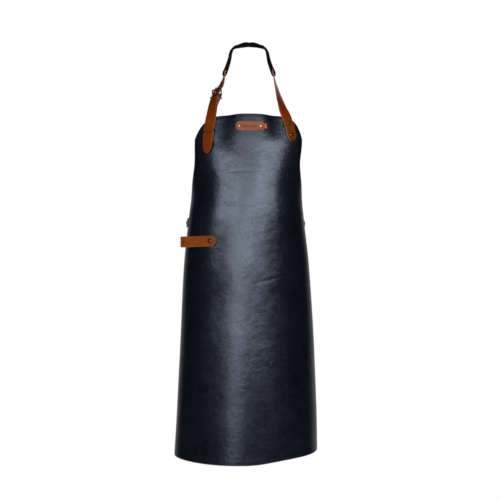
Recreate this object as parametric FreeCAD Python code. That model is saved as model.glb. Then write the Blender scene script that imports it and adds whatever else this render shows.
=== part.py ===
"""Bib apron of thick leather with riveted neck straps, a neck band, a towel loop and a waist belt.

Millimetres, +Z up, the wearer faces -Y, and the origin is where the neck band rests on the neck.
The apron is modelled as it hangs on a wearer: the panel wraps round the front of the body.
"""
import FreeCAD, Part
import math
import os
from FreeCAD import Vector

os.makedirs("parts", exist_ok=True)

# Panel
PANEL_THICK = 3.0
BIB_TOP = -208.0  # height of the middle of the bib's top edge
BIB_BOW = 15.0  # the top edge falls by this much in a gentle curve
SHOULDER_DROP = 47.0  # and by this much more towards its corners
SHOULDER_POWER = (5.4, 10)  # the left shoulder is straight and the right one is full
HEM = -1087.0
HEM_RISE = (4.5, 9.5)  # the hem is higher by this much at its left and right ends
HEM_BEND = (0.6, 0.25)  # how soon it rises, as parts of the half width
PANEL_ROWS = 36
ROW_POWER = 1.4  # the rows are closer together at the bib
PANEL_COLUMNS = 24
# How the panel lies round the body: height, half width, half depth, front, centre, wrap, skew.
# The wrap is the angle from the front to the side edge, and the skew turns the lower part.
BODY = [
    (-208, 169, 95, -165, -3, 52, 0.00),
    (-270, 166, 96, -172, -1.5, 56, 0.00),
    (-340, 152, 99, -178, -5, 64, 0.00),
    (-400, 144, 102, -182, -6, 84, 0.00),
    (-470, 150, 106, -186, -7, 108, 0.02),
    (-574, 162, 115, -188, -6.5, 108, 0.05),
    (-678, 169.5, 125, -190, -4.5, 106, 0.07),
    (-782, 175, 133, -194, -3, 104, 0.09),
    (-938, 182, 142, -201, -2, 101, 0.11),
    (-1100, 188, 149, -208, -5, 99, 0.12),
]

# Straps
STRAP_WIDTH = 25.0
STRAP_THICK = 3.0
UNDER_THICK = 2.6  # the buckle strap, which lies under the adjuster strap
FIT = 0.2  # gap between layers that lie on each other
END_STEPS = (0.06, 0.2, 0.45, 0.75, 1.0)  # where a round end is sampled, as parts of its radius

# Neck band
BAND_WIDTH = 27.0
BAND_THICK = 7.0
POCKET_ROOM = 0.8  # its pockets are this much thicker than a strap

# The line where the straps fold over the top of the bib
FOLD_Z = -211.0
FOLD_GAP = 5.0  # bare length on each side of the fold

# Buckles
WIRE_R = 1.7
BUCKLE_REACH = 17.0  # from the heel bar to the front bar
HEEL_DEPTH = 6.5  # heel bar behind the adjuster strap's middle
FRONT_RISE = 3.7  # front bar before it
ARM_AT = 14.9  # side arms from the middle of the strap
PRONG_R = 1.2
PRONG_SLOT = (11.5, 4.4)
PRONG_SLOT_START = -1.8
KEEPER_R = 0.9
KEEPER_HALF = 14.6
KEEPER_FROM_HEEL = 8.0
BAR_FIT = 0.4  # gap between the folded strap and the heel bar
LEAF_LENGTH = 14.0  # the strap's leaf is straight this far below the bar
FLAP_LENGTH = 34.0  # and its other leaf ends this far below it
EYE_SLOT = 7.2  # width of the slot for the prong
LEAF_MIDDLE = -HEEL_DEPTH + WIRE_R + BAR_FIT + UNDER_THICK / 2
UNDER_LIFT = 0.8  # the buckle strap stands off the panel at the fold
UNDER_DROP = 4.5  # and its middle is this far behind the adjuster strap's halfway down

# Rivets
CAP_R = 5.1
CAP_HEIGHT = 2.2
UNDER_CAP = 1.8  # a flatter cap, which the adjuster strap's tail lies over
POST_R = 1.6
BACK_R = 4.2
BACK_THICK = 1.4
POST_FIT = 0.05

# Label, side tag and towel loop
LABEL_CENTRE = (3.2, -239.8)
LABEL_LENGTH = 74.0
LABEL_WIDTH = 24.0
LABEL_THICK = 2.4
LABEL_RIVETS = (-24.6, 29.7)
LABEL_CAP_R = 2.9
TAG_LENGTH = 10.5
TAG_WIDTH = 12.0
TAG_THICK = 1.0
TOWEL_STUD = (-96.0, -529.6)
TOWEL_TILT = -0.035  # its free end is a little lower than its stud
TOWEL_LENGTH = 82.0  # from the stud to the fold
TOWEL_END = 15.0  # from the stud to the free end
TOWEL_WIDTH = 27.0
TOWEL_THICK = 2.2
TOWEL_INNER = 4.0  # inside radius of its fold
TOWEL_LIFT = 0.6  # its flat back leaf stands off the round panel
STUD_CAP_R = 5.4

# Waist belt, at the height where the side corners of the panel are
WAIST_Z = -481.0
WAIST_BUCKLE = 152.0  # angle round the body
WAIST_LEFT_START = -86.0
WAIST_RIGHT_START = 96.0
WAIST_TAIL_END = 112.0
WAIST_LEFT_RIVETS = (-92.0, -102.0)
WAIST_RIGHT_RIVETS = (98.5, 105.0)
LEFT_BELT = 520.0  # lengths, which set how soon the ends round off
RIGHT_BELT = 150.0
BELT_LIFT = 1.1  # the belt's feet stand off the panel


# Points and solids


def mix(a, b, t):
    return a + (b - a) * t


def square_to(way, axis):
    """The direction nearest to way that is square to an axis."""
    return (way - axis * way.dot(axis)).normalize()


def body_at(z):
    """The rows of BODY, joined by smooth curves."""
    top = max(i for i, row in enumerate(BODY[:-1]) if row[0] >= z or i == 0)
    rows = [BODY[max(top - 1, 0)], BODY[top], BODY[top + 1], BODY[min(top + 2, len(BODY) - 1)]]
    t = (z - rows[1][0]) / (rows[2][0] - rows[1][0])
    values = []
    for k in range(1, len(BODY[0])):
        span = rows[2][0] - rows[1][0]
        slope_a = (rows[2][k] - rows[0][k]) / (rows[2][0] - rows[0][0]) * span
        slope_b = (rows[3][k] - rows[1][k]) / (rows[3][0] - rows[1][0]) * span
        step = (
            (2 * t**3 - 3 * t**2 + 1) * rows[1][k]
            + (t**3 - 2 * t**2 + t) * slope_a
            + (3 * t**2 - 2 * t**3) * rows[2][k]
            + (t**3 - t**2) * slope_b
        )
        values.append(step)
    return values


def bare_skin(angle, z):
    half, depth, front, centre, wrap, skew = body_at(z)
    t = math.radians(angle)
    across = half * math.sin(t)
    return Vector(centre + across, front + depth * (1 - math.cos(t)) + skew * across, z)


def skin_normal(angle, z):
    around = bare_skin(angle + 0.5, z) - bare_skin(angle - 0.5, z)
    upward = bare_skin(angle, z + 1) - bare_skin(angle, z - 1)
    return around.cross(upward).normalize()


def skin(angle, z, lift=0.0):
    """A point on the panel's outer face, or lifted off it, at an angle round the body."""
    return bare_skin(angle, z) + skin_normal(angle, z) * lift


def angle_at(x, z):
    half, depth, front, centre, wrap, skew = body_at(z)
    return math.degrees(math.asin((x - centre) / half))


def step_angle(angle, z, distance):
    """The angle after going a distance round the body."""
    half, depth = body_at(z)[:2]
    t = math.radians(angle)
    reach = math.hypot(half * math.cos(t), depth * math.sin(t))
    return angle + math.degrees(distance / reach)


def surface(grid):
    face = Part.BSplineSurface()
    face.interpolate(grid)
    return face


def slab(outer, inner):
    """A closed solid between two grids of points."""
    top, bottom = surface(outer), surface(inner)
    u0, u1, v0, v1 = top.bounds()
    p0, p1, q0, q1 = bottom.bounds()
    edges = [
        (top.uIso(u0), bottom.uIso(p0)),
        (top.uIso(u1), bottom.uIso(p1)),
        (top.vIso(v0), bottom.vIso(q0)),
        (top.vIso(v1), bottom.vIso(q1)),
    ]
    faces = [top.toShape(), bottom.toShape()]
    faces += [Part.makeRuledSurface(a.toShape(), b.toShape()) for a, b in edges]
    shell = Part.Shell(faces)
    shell.sewShape()
    solid = Part.Solid(shell)
    if solid.Volume < 0:
        solid.reverse()
    return solid


def smooth(points, knots, count):
    """Points spaced evenly along a smooth curve that passes the given ones at the given knots."""
    last = len(points) - 1
    slopes = []
    for i in range(last + 1):
        a, b = max(i - 1, 0), min(i + 1, last)
        slopes.append((points[b] - points[a]) * (1 / (knots[b] - knots[a])))
    samples = []
    span = 0
    for step in range(count):
        at = mix(knots[0], knots[-1], step / (count - 1))
        while span < last - 1 and at > knots[span + 1]:
            span += 1
        width = knots[span + 1] - knots[span]
        t = (at - knots[span]) / width
        samples.append(
            points[span] * (2 * t**3 - 3 * t**2 + 1)
            + slopes[span] * ((t**3 - 2 * t**2 + t) * width)
            + points[span + 1] * (3 * t**2 - 2 * t**3)
            + slopes[span + 1] * ((t**3 - t**2) * width)
        )
    return samples


def ribbon(centres, normals, widths, thick):
    """A strap along a list of centres. Each normal says which way its outer face looks."""
    outer, inner = [], []
    last = len(centres) - 1
    for i, centre in enumerate(centres):
        along = (centres[min(i + 1, last)] - centres[max(i - 1, 0)]).normalize()
        side = normals[i].cross(along).normalize()
        out = along.cross(side)
        row = [centre + side * (widths[i] * k / 2) for k in (-1, -0.33, 0.33, 1)]
        outer.append([p + out * (thick / 2) for p in row])
        inner.append([p - out * (thick / 2) for p in row])
    return slab(outer, inner)


def strip(line, widths, lift, thick, upright=True):
    """A strap that lies on the panel. An upright one runs down it, any other runs round it."""
    outer, inner = [], []
    for (angle, z), width in zip(line, widths):
        row = []
        for k in (-1, -0.5, 0, 0.5, 1):
            aside = width * k / 2
            row.append((step_angle(angle, z, aside), z) if upright else (angle, z + aside))
        outer.append([skin(a, h, lift + thick) for a, h in row])
        inner.append([skin(a, h, lift) for a, h in row])
    return slab(outer, inner)


def round_end(width):
    """Distances from a round tip, and the widths there."""
    radius = width / 2
    pairs = []
    for part in END_STEPS:
        away = part * radius
        pairs.append((away, width * math.sqrt(1 - (1 - part) ** 2)))
    return pairs


def placed(shape, origin, ex, ey, ez):
    rows = []
    for i in range(3):
        rows += [ex[i], ey[i], ez[i], origin[i]]
    out = shape.copy()
    out.Placement = FreeCAD.Placement(FreeCAD.Matrix(*rows, 0, 0, 0, 1))
    return out


def bent_wire(points, radius, closed=True):
    """A round wire through a list of corners, with ball corners."""
    pieces = [Part.makeSphere(radius, p) for p in points]
    runs = list(zip(points, points[1:] + points[:1]))
    if not closed:
        runs = runs[:-1]
    for a, b in runs:
        pieces.append(Part.makeCylinder(radius, (b - a).Length, a, b - a))
    return pieces[0].fuse(pieces[1:]).removeSplitter()


def dome(radius, height, base=0.0):
    """A low round cap that stands on z = base."""
    ball = (radius**2 + height**2) / (2 * height)
    cap = Part.makeSphere(ball, Vector(0, 0, base + height - ball))
    return cap.common(Part.makeCylinder(radius, height, Vector(0, 0, base)))


def rivet(spot, out, cap_r, cap_height, depth):
    """A cap with its post, which goes depth into the work, and the back cap that closes it."""
    post = Part.makeCylinder(POST_R, depth + BACK_THICK, Vector(0, 0, -depth - BACK_THICK))
    cap = dome(cap_r, cap_height).fuse(post)
    back = Part.makeCylinder(min(BACK_R, cap_r), BACK_THICK, Vector(0, 0, -depth - BACK_THICK - FIT))
    below = Vector(0, 0, -depth - 2 * BACK_THICK)
    back = back.cut(Part.makeCylinder(POST_R + POST_FIT, 2 * BACK_THICK, below))
    drill = Part.makeCylinder(POST_R + POST_FIT, depth + 2, Vector(0, 0, -depth - 1))
    up = Vector(0, 0, 1)
    side = up.cross(out).normalize()
    axes = (spot + out * FIT, side, out.cross(side), out)
    return [placed(s, *axes) for s in (cap, back, drill)]


def rivet_row(spots, cap_r, cap_height, depth):
    """Several rivets: their caps, their backs, and the drills for their holes."""
    sets = [rivet(spot, out, cap_r, cap_height, depth) for spot, out in spots]
    return [list(kind) for kind in zip(*sets)]


def drilled(shape, drills):
    for drill in drills:
        shape = shape.cut(drill)
    return shape


# Panel


def top_edge(u):
    """Height of the top edge, from -1 at its left corner to 1 at its right corner."""
    power = SHOULDER_POWER[u > 0]
    return BIB_TOP - BIB_BOW * u**2 - SHOULDER_DROP * abs(u) ** power


def bottom_edge(u):
    rise, bend = HEM_RISE[u > 0], HEM_BEND[u > 0]
    return HEM + rise * (1 - math.exp(-((u / bend) ** 2)))


def panel():
    outer, inner = [], []
    for i in range(PANEL_ROWS + 1):
        far = (i / PANEL_ROWS) ** ROW_POWER
        row = []
        for j in range(PANEL_COLUMNS + 1):
            u = 2 * j / PANEL_COLUMNS - 1
            z = mix(top_edge(u), bottom_edge(u), far)
            row.append((u * body_at(z)[4], z))
        outer.append([skin(a, z) for a, z in row])
        inner.append([skin(a, z, -PANEL_THICK) for a, z in row])
    return slab(outer, inner)


# Neck straps and band


def turned(angle, pitch):
    """A strap's outward direction, an angle round from the wearer's side towards the front."""
    t = math.radians(angle)
    return Vector(math.cos(t), -math.sin(t), pitch)


BAND_BACK = Vector(0, 0.26, 0.966)
BAND_HALF = [  # from the middle of the back round to one end: place, outward direction
    (Vector(0, 2, 1), BAND_BACK),
    (Vector(12, 1.8, 0.6), BAND_BACK),
    (Vector(24, 0.8, -2), Vector(0.08, 0.3, 0.95)),
    (Vector(35.5, -3.5, -6.2), Vector(0.28, 0.36, 0.88)),
    (Vector(42.5, -11, -11.8), Vector(0.58, 0.34, 0.72)),
    (Vector(46.7, -20, -21), Vector(0.86, 0.2, 0.42)),
    (Vector(49.2, -30, -31), Vector(0.97, 0.06, 0.15)),
    (Vector(51.8, -42, -48), Vector(1, 0, 0)),
    (Vector(57.6, -58.5, -71), turned(2, 0)),
    (Vector(63.4, -73, -91.4), turned(8, 0)),
]
RIGHT_STRAP = [
    (Vector(57.6, -58.5, -71), turned(2, 0)),
    (Vector(63.4, -73, -91.4), turned(8, 0)),
    (Vector(68.4, -89, -115.2), turned(20, 0)),
    (Vector(74.4, -109, -144.5), turned(34, 0)),
    (Vector(81.2, -129, -173.4), turned(50, 0)),
    (Vector(88, -144.5, -197), turned(62, 0)),
]
# The buckle's own directions: down the strap, out of its face, and across it
BUCKLE_SPOT = Vector(-86.0, -117.0, -152.5)  # where the adjuster strap crosses the heel bar
BUCKLE_DOWN = Vector(-0.26, -0.55, -0.79).normalize()
BUCKLE_LOOK = 50.0
ABOVE_BUCKLE = [  # the adjuster strap from the band to the buckle, between its straight parts
    (Vector(-67.6, -85, -106.5), 24.0),
    (Vector(-70.8, -92.5, -119.0), 34.0),
    (Vector(-75.0, -99.5, -130.0), 44.0),
]
BUCKLE_RUN = (15, 8, 0, -8, -15)  # where the adjuster strap is straight, up from the bar
BELOW_BUCKLE = Vector(-93.0, -142.5, -184.5)  # on its way down to the bib
RIGHT_FOLD = 93.2  # where the straps cross the fold line, across the bib
LEFT_FOLD = -93.6
RIGHT_RIVETS = [(99.6, -229.4), (107.4, -259.5)]
RIGHT_END = (111.2, -274.2)
LEFT_RIVETS = [(-96.4, -228.0), (-100.8, -271.0)]
LEFT_END = (-101.6, -283.0)
TAIL_LINE = [(-96.5, -224.4), (-99.7, -249.6), (-101.5, -274.8), (-104.2, -308.8)]
TAIL_HOLES = [(-99.0, -243.0), (-102.0, -286.0)]
UPPER_HOLE = Vector(-93.9, -147.2, -191.4)
HOLE_R = 2.0
PUNCH = 12.0  # length of the tool that makes slots and holes
STACK = 5.8  # from the panel to the adjuster strap's tail, over the rivets
LOWER_KEEPER = (-99.4, -251.0)
LOWER_KEEPER_HALF = 15.6
LOWER_KEEPER_SAG = 4.5
LOWER_KEEPER_TILT = 8.0  # degrees; its right end is the higher one
KEEPER_LIFT = 2.7  # the buckle strap stands off the panel by this much over the lower keeper
KEEPER_WAVE = 15.0  # and this is how soon it comes down again


def mirrored(v):
    return Vector(-v.x, v.y, v.z)


BUCKLE_OUT = square_to(mirrored(turned(BUCKLE_LOOK, 0)), BUCKLE_DOWN)
BUCKLE_SIDE = BUCKLE_OUT.cross(BUCKLE_DOWN).normalize()


def through(stations, count, widths, thick):
    """A ribbon through stations, each a centre and a direction."""
    knots = [0.0]
    for (a, look_a), (b, look_b) in zip(stations, stations[1:]):
        knots.append(knots[-1] + (b - a).Length)
    centres = smooth([c for c, n in stations], knots, count)
    ways = smooth([n for c, n in stations], knots, count)
    if callable(widths):
        sizes = [widths(i / (count - 1)) for i in range(count)]
    else:
        sizes = [widths] * count
    return ribbon(centres, ways, sizes, thick)


def right_stations():
    return RIGHT_STRAP + [fold_station(RIGHT_FOLD, FIT + STRAP_THICK / 2)]


def adjuster_stations():
    top = [(mirrored(c), mirrored(n)) for c, n in RIGHT_STRAP[:2]]
    top += [(place, mirrored(turned(look, 0))) for place, look in ABOVE_BUCKLE]
    run = [(buckle_point(0, up, 0), BUCKLE_OUT) for up in BUCKLE_RUN]
    return top + run + [below_buckle(0), fold_station(LEFT_FOLD, STACK + STRAP_THICK / 2)]


def band():
    """The gathered band, with a pocket in each end that a strap goes into."""
    left = [(mirrored(c), mirrored(n)) for c, n in BAND_HALF[:0:-1]]
    body = through(left + BAND_HALF, 41, BAND_WIDTH, BAND_THICK)
    for stations, count in ((right_stations(), 25), (adjuster_stations(), 45)):
        pocket = through(stations, count, STRAP_WIDTH + 1, STRAP_THICK + POCKET_ROOM)
        back = (stations[0][0] - stations[1][0]).normalize() * FIT
        body = body.cut(pocket)
        pocket.translate(back)
        body = body.cut(pocket)
    return body


def fold_station(x, lift):
    """Where an upper strap ends, just above the fold over the bib."""
    angle = angle_at(x, FOLD_Z)
    return skin(angle, FOLD_Z + FOLD_GAP, lift), skin_normal(angle, FOLD_Z)


def below_buckle(drop):
    """Where the adjuster strap is halfway to the bib, or a layer that is a drop behind it."""
    low = skin_normal(angle_at(LEFT_FOLD, FOLD_Z), FOLD_Z)
    way = (BUCKLE_OUT + low).normalize()
    return BELOW_BUCKLE - way * drop, way


def upper_right_strap():
    return through(right_stations(), 25, STRAP_WIDTH, STRAP_THICK)


def foot(points, lift, thick, steps=10):
    """A strap's lower piece: it runs down the bib from the fold to a round tip."""
    line = Part.BSplineCurve()
    line.interpolate([Vector(x, z, 0) for x, z in points])
    length = line.length()
    ends = round_end(STRAP_WIDTH)
    straight = length - ends[-1][0]
    stops = [(straight * i / steps, STRAP_WIDTH) for i in range(steps)]
    stops += [(length - away, width) for away, width in reversed(ends)]
    places, widths = [], []
    for run, width in stops:
        p = line.value(line.parameterAtDistance(run, line.FirstParameter))
        places.append((angle_at(p.x, p.y), p.y))
        widths.append(width)
    outer, inner = [], []
    for (angle, z), width in zip(places, widths):
        rise = lift(z) if callable(lift) else lift
        row = [step_angle(angle, z, width * k / 2) for k in (-1, -0.5, 0, 0.5, 1)]
        outer.append([skin(a, z, rise + thick) for a in row])
        inner.append([skin(a, z, rise) for a in row])
    return slab(outer, inner)


def lower_keeper_axes():
    angle = angle_at(*LOWER_KEEPER)
    out = skin_normal(angle, LOWER_KEEPER[1])
    up = square_to(Vector(0, 0, 1), out)
    return skin(angle, LOWER_KEEPER[1]), up.cross(out), up, out


LOWER_KEEPER_AXES = lower_keeper_axes()


def stack_wave(z):
    """The buckle strap's lift: down at its rivets, up over the lower keeper."""
    away = (z - LOWER_KEEPER[1]) / KEEPER_WAVE
    return FIT + KEEPER_LIFT * math.exp(-(away**2))


def buckle_point(across, up, out):
    return BUCKLE_SPOT + BUCKLE_SIDE * across - BUCKLE_DOWN * up + BUCKLE_OUT * out


def adjuster_upper():
    """The strap with the holes: from the band's left end, through the buckle, to the fold."""
    strap = through(adjuster_stations(), 45, STRAP_WIDTH, STRAP_THICK)
    axes = (BUCKLE_SPOT, BUCKLE_SIDE, BUCKLE_DOWN * -1, BUCKLE_OUT)
    strap = strap.cut(placed(prong_slot(), *axes))
    way = below_buckle(0)[1]
    return strap.cut(Part.makeCylinder(HOLE_R, PUNCH, UPPER_HOLE - way * (PUNCH / 2), way))


def prong_slot():
    length, width = PRONG_SLOT
    return Part.makeBox(width, length, PUNCH, Vector(-width / 2, PRONG_SLOT_START, -PUNCH / 2))


def adjuster_tail():
    points = [(LEFT_FOLD - 0.6, FOLD_Z - FOLD_GAP)] + TAIL_LINE
    tail = foot(points, STACK, STRAP_THICK)
    for x, z in TAIL_HOLES:
        angle = angle_at(x, z)
        start = skin(angle, z, STACK + STRAP_THICK / 2 - PUNCH / 2)
        tail = tail.cut(Part.makeCylinder(HOLE_R, PUNCH, start, skin_normal(angle, z)))
    return tail


def folded_end():
    """A strap end folded round a heel bar: the leaf before the bar, and the flap behind it."""
    inner = WIRE_R + BAR_FIT
    thick = UNDER_THICK
    outer = inner + thick
    ring = Part.makeCylinder(outer, STRAP_WIDTH, Vector(-STRAP_WIDTH / 2, 0, 0), Vector(1, 0, 0))
    ring = ring.cut(Part.makeCylinder(inner, STRAP_WIDTH, Vector(-STRAP_WIDTH / 2, 0, 0), Vector(1, 0, 0)))
    upper = Part.makeBox(STRAP_WIDTH, outer + 1, 2 * outer + 2, Vector(-STRAP_WIDTH / 2, 0, -outer - 1))
    ring = ring.common(upper)
    front = Part.makeBox(STRAP_WIDTH, LEAF_LENGTH, thick, Vector(-STRAP_WIDTH / 2, -LEAF_LENGTH, inner))
    back = Part.makeBox(STRAP_WIDTH, FLAP_LENGTH, thick, Vector(-STRAP_WIDTH / 2, -FLAP_LENGTH, -outer))
    half = EYE_SLOT / 2
    slot = Part.makeBox(EYE_SLOT, 2 * outer + 3, 3 * outer, Vector(-half, -outer, -1.5 * outer))
    return ring.fuse([front, back]).removeSplitter().cut(slot)


def buckle_strap_upper():
    """From the fold at the heel bar down to the fold over the bib, behind the adjuster strap."""
    heel = buckle_point(0, 0, -HEEL_DEPTH)
    eye = placed(folded_end(), heel, BUCKLE_SIDE, BUCKLE_DOWN * -1, BUCKLE_OUT)
    run = [(buckle_point(0, -down, LEAF_MIDDLE), BUCKLE_OUT) for down in (LEAF_LENGTH, LEAF_LENGTH + 3)]
    end = [below_buckle(UNDER_DROP), fold_station(LEFT_FOLD, UNDER_LIFT + UNDER_THICK / 2)]
    return eye.fuse(through(run + end, 15, STRAP_WIDTH, UNDER_THICK))


def buckle_frame(origin, ex, ey, ez):
    heel, front = -HEEL_DEPTH, FRONT_RISE
    corners = [
        Vector(-ARM_AT, 0, heel),
        Vector(ARM_AT, 0, heel),
        Vector(ARM_AT, BUCKLE_REACH, front),
        Vector(-ARM_AT, BUCKLE_REACH, front),
    ]
    return placed(bent_wire(corners, WIRE_R), origin, ex, ey, ez)


def buckle_prong(origin, ex, ey, ez):
    """A tongue that hooks round the heel bar, goes through the strap and rests on the front bar."""
    eye_r = WIRE_R + 0.15 + 2 * PRONG_R
    eye = Part.makeCylinder(eye_r, 2 * PRONG_R, Vector(-PRONG_R, 0, -HEEL_DEPTH), Vector(1, 0, 0))
    hole = Part.makeCylinder(WIRE_R + 0.08, 8, Vector(-4, 0, -HEEL_DEPTH), Vector(1, 0, 0))
    rest = FRONT_RISE + WIRE_R + PRONG_R + 0.5
    line = [
        Vector(0, eye_r - PRONG_R, -HEEL_DEPTH),
        Vector(0, eye_r - PRONG_R + 1.6, 3.2),
        Vector(0, BUCKLE_REACH - 4, rest),
        Vector(0, BUCKLE_REACH + 2.6, rest - 0.4),
    ]
    tongue = bent_wire(line, PRONG_R, closed=False).fuse(eye).cut(hole)
    return placed(tongue.removeSplitter(), origin, ex, ey, ez)


def keeper(origin, ex, ey, ez, low, high, sag=0.0, half=KEEPER_HALF):
    """A wire loop round the layers of the strap, from low to high out of its face."""
    corners = [Vector(-half, 0, low), Vector(half, 0, low), Vector(half, 0, high)]
    for part in (0.5, 0, -0.5):
        corners.append(Vector(half * part, -sag * (1 - part**2), high + 0.6))
    corners.append(Vector(-half, 0, high))
    return placed(bent_wire(corners, KEEPER_R), origin, ex, ey, ez)


# Waist belt


def belt_point(angle, lift):
    return skin(angle, WAIST_Z, lift)


WAIST_SPOT = belt_point(WAIST_BUCKLE, 10.0)
WAIST_OUT = square_to(skin_normal(WAIST_BUCKLE, WAIST_Z), Vector(0, 0, 1))
WAIST_DOWN = Vector(0, 0, 1).cross(WAIST_OUT).normalize() * -1
WAIST_SIDE = WAIST_OUT.cross(WAIST_DOWN).normalize()


def waist_point(across, up, out):
    return WAIST_SPOT + WAIST_SIDE * across - WAIST_DOWN * up + WAIST_OUT * out


def belt_way(angle):
    """The belt looks the way the panel does at its feet, and straight out behind the wearer."""
    leaning = skin_normal(angle, WAIST_Z)
    upright = square_to(leaning, Vector(0, 0, 1))
    return mix(leaning, upright, min(1, max(0, (abs(angle) - 112) / 20)))


def belt_stations(start, end, lift_a, lift_b, count):
    stations = []
    for i in range(count):
        t = i / (count - 1)
        angle = mix(start, end, t)
        stations.append((belt_point(angle, mix(lift_a, lift_b, t)), belt_way(angle)))
    return stations


def rounded_widths(length, both):
    """A strap's width along it, with one round end or two."""

    def width(t):
        away = (1 - t) * length
        if both:
            away = min(away, t * length)
        part = min(1.0, away / (STRAP_WIDTH / 2))
        return STRAP_WIDTH * max(0.25, math.sqrt(1 - (1 - part) ** 2))

    return width


def left_waist_strap():
    """From its foot on the left edge of the panel round the back, through the buckle, to its tip."""
    mid = BELT_LIFT + STRAP_THICK / 2
    foot_part = belt_stations(WAIST_LEFT_START, -130, mid, mid, 8)
    back = belt_stations(-140, -180, mid + 0.5, 6.5, 5)
    run = [(waist_point(0, up, 0), WAIST_OUT) for up in (22, 14, 7, 0, -7, -14, -20)]
    tail = belt_stations(136, WAIST_TAIL_END, 9.4, 8.2, 5)
    stations = foot_part + back + run + tail
    strap = through(stations, 110, rounded_widths(LEFT_BELT, True), STRAP_THICK)
    return strap.cut(placed(prong_slot(), WAIST_SPOT, WAIST_SIDE, WAIST_DOWN * -1, WAIST_OUT))


def right_waist_strap():
    """From its foot on the right edge of the panel to the heel bar of the waist buckle."""
    heel = waist_point(0, 0, -HEEL_DEPTH)
    eye = placed(folded_end(), heel, WAIST_SIDE, WAIST_DOWN * -1, WAIST_OUT)
    run = [(waist_point(0, -down, LEAF_MIDDLE), WAIST_OUT) for down in (LEAF_LENGTH, 18)]
    mid = BELT_LIFT + UNDER_THICK / 2
    rest = belt_stations(134, 114, mid + 3.4, mid, 4)
    flat = belt_stations(110, WAIST_RIGHT_START, mid, mid, 5)
    return eye.fuse(through(run + rest + flat, 60, rounded_widths(RIGHT_BELT, False), UNDER_THICK))


# Label, tag and towel loop


def level_strip(x0, x1, z, width, lift, thick, rounded):
    """A strip that runs level across the bib, with round ends or square ones."""
    if rounded:
        ends = round_end(width)
        stops = [(x0 + away, size) for away, size in ends]
        stops += [(mix(x0, x1, t), width) for t in (0.25, 0.4, 0.6, 0.75)]
        stops += [(x1 - away, size) for away, size in reversed(ends)]
    else:
        stops = [(mix(x0, x1, t), width) for t in (0, 0.33, 0.67, 1)]
    line = [(angle_at(x, z), z) for x, size in stops]
    return strip(line, [size for x, size in stops], lift, thick, upright=False)


def label_and_tag():
    x, z = LABEL_CENTRE
    half = LABEL_LENGTH / 2
    label = level_strip(x - half, x + half, z, LABEL_WIDTH, FIT, LABEL_THICK, True)
    start = x + half - 6
    room = TAG_WIDTH + 2 * FIT
    pocket = level_strip(start - FIT, start + TAG_LENGTH, z, room, FIT / 2, TAG_THICK + FIT, False)
    tag = level_strip(start, start + TAG_LENGTH, z, TAG_WIDTH, FIT, TAG_THICK - 0.1, False)
    return label.cut(pocket), tag


TOWEL_ANGLE = angle_at(*TOWEL_STUD)
TOWEL_OUT = skin_normal(TOWEL_ANGLE, TOWEL_STUD[1])
TOWEL_UP = square_to(Vector(TOWEL_TILT, 0, 1), TOWEL_OUT)
TOWEL_ALONG = TOWEL_UP.cross(TOWEL_OUT).normalize()
TOWEL_SPOT = skin(TOWEL_ANGLE, TOWEL_STUD[1], TOWEL_LIFT)
TOWEL_TOP = 2 * TOWEL_THICK + 2 * TOWEL_INNER  # the outer face where the loop is fattest
TOWEL_CLOSED = TOWEL_THICK + 0.3  # the flap's inner face where it meets the back leaf


def towel_placed(shape):
    return placed(shape, TOWEL_SPOT, TOWEL_ALONG, TOWEL_UP, TOWEL_OUT)


def side_profile(points):
    """A leaf of the towel loop, from its outline seen from below."""
    low = -TOWEL_WIDTH / 2
    wire = Part.makePolygon([Vector(x, low, z) for x, z in points + points[:1]])
    return Part.Face(wire).extrude(Vector(0, TOWEL_WIDTH, 0))


def towel_back_leaf():
    middle = -TOWEL_LENGTH + TOWEL_INNER + TOWEL_THICK
    outer = TOWEL_INNER + TOWEL_THICK
    centre = Vector(middle, -TOWEL_WIDTH / 2, outer)
    ring = Part.makeCylinder(outer, TOWEL_WIDTH, centre, Vector(0, 1, 0))
    ring = ring.cut(Part.makeCylinder(TOWEL_INNER, TOWEL_WIDTH, centre, Vector(0, 1, 0)))
    half = Part.makeBox(outer, TOWEL_WIDTH, 2 * outer, Vector(middle - outer, -TOWEL_WIDTH / 2, 0))
    leaf = Part.makeBox(TOWEL_END - middle, TOWEL_WIDTH, TOWEL_THICK, Vector(middle, -TOWEL_WIDTH / 2, 0))
    leaf = leaf.makeFillet(TOWEL_WIDTH / 2 - 0.5, [e for e in leaf.Edges if upright_edge(e, TOWEL_END)])
    return leaf.fuse(ring.common(half)).removeSplitter()


def upright_edge(edge, x):
    ends = [v.Point for v in edge.Vertexes]
    level = abs(ends[0].x - x) < 0.01 and abs(ends[1].x - x) < 0.01
    return level and abs(ends[0].y - ends[1].y) < 0.01


def towel_flap_leaf():
    start = -TOWEL_LENGTH + TOWEL_INNER + TOWEL_THICK + 0.3
    down = -STUD_CAP_R - 4
    points = [
        (start, TOWEL_TOP),
        (start, TOWEL_TOP - TOWEL_THICK),
        (down, TOWEL_CLOSED),
        (TOWEL_END, TOWEL_CLOSED),
        (TOWEL_END, TOWEL_CLOSED + TOWEL_THICK),
        (down, TOWEL_CLOSED + TOWEL_THICK),
    ]
    leaf = side_profile(points)
    return leaf.makeFillet(TOWEL_WIDTH / 2 - 0.5, [e for e in leaf.Edges if upright_edge(e, TOWEL_END)])


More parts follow.
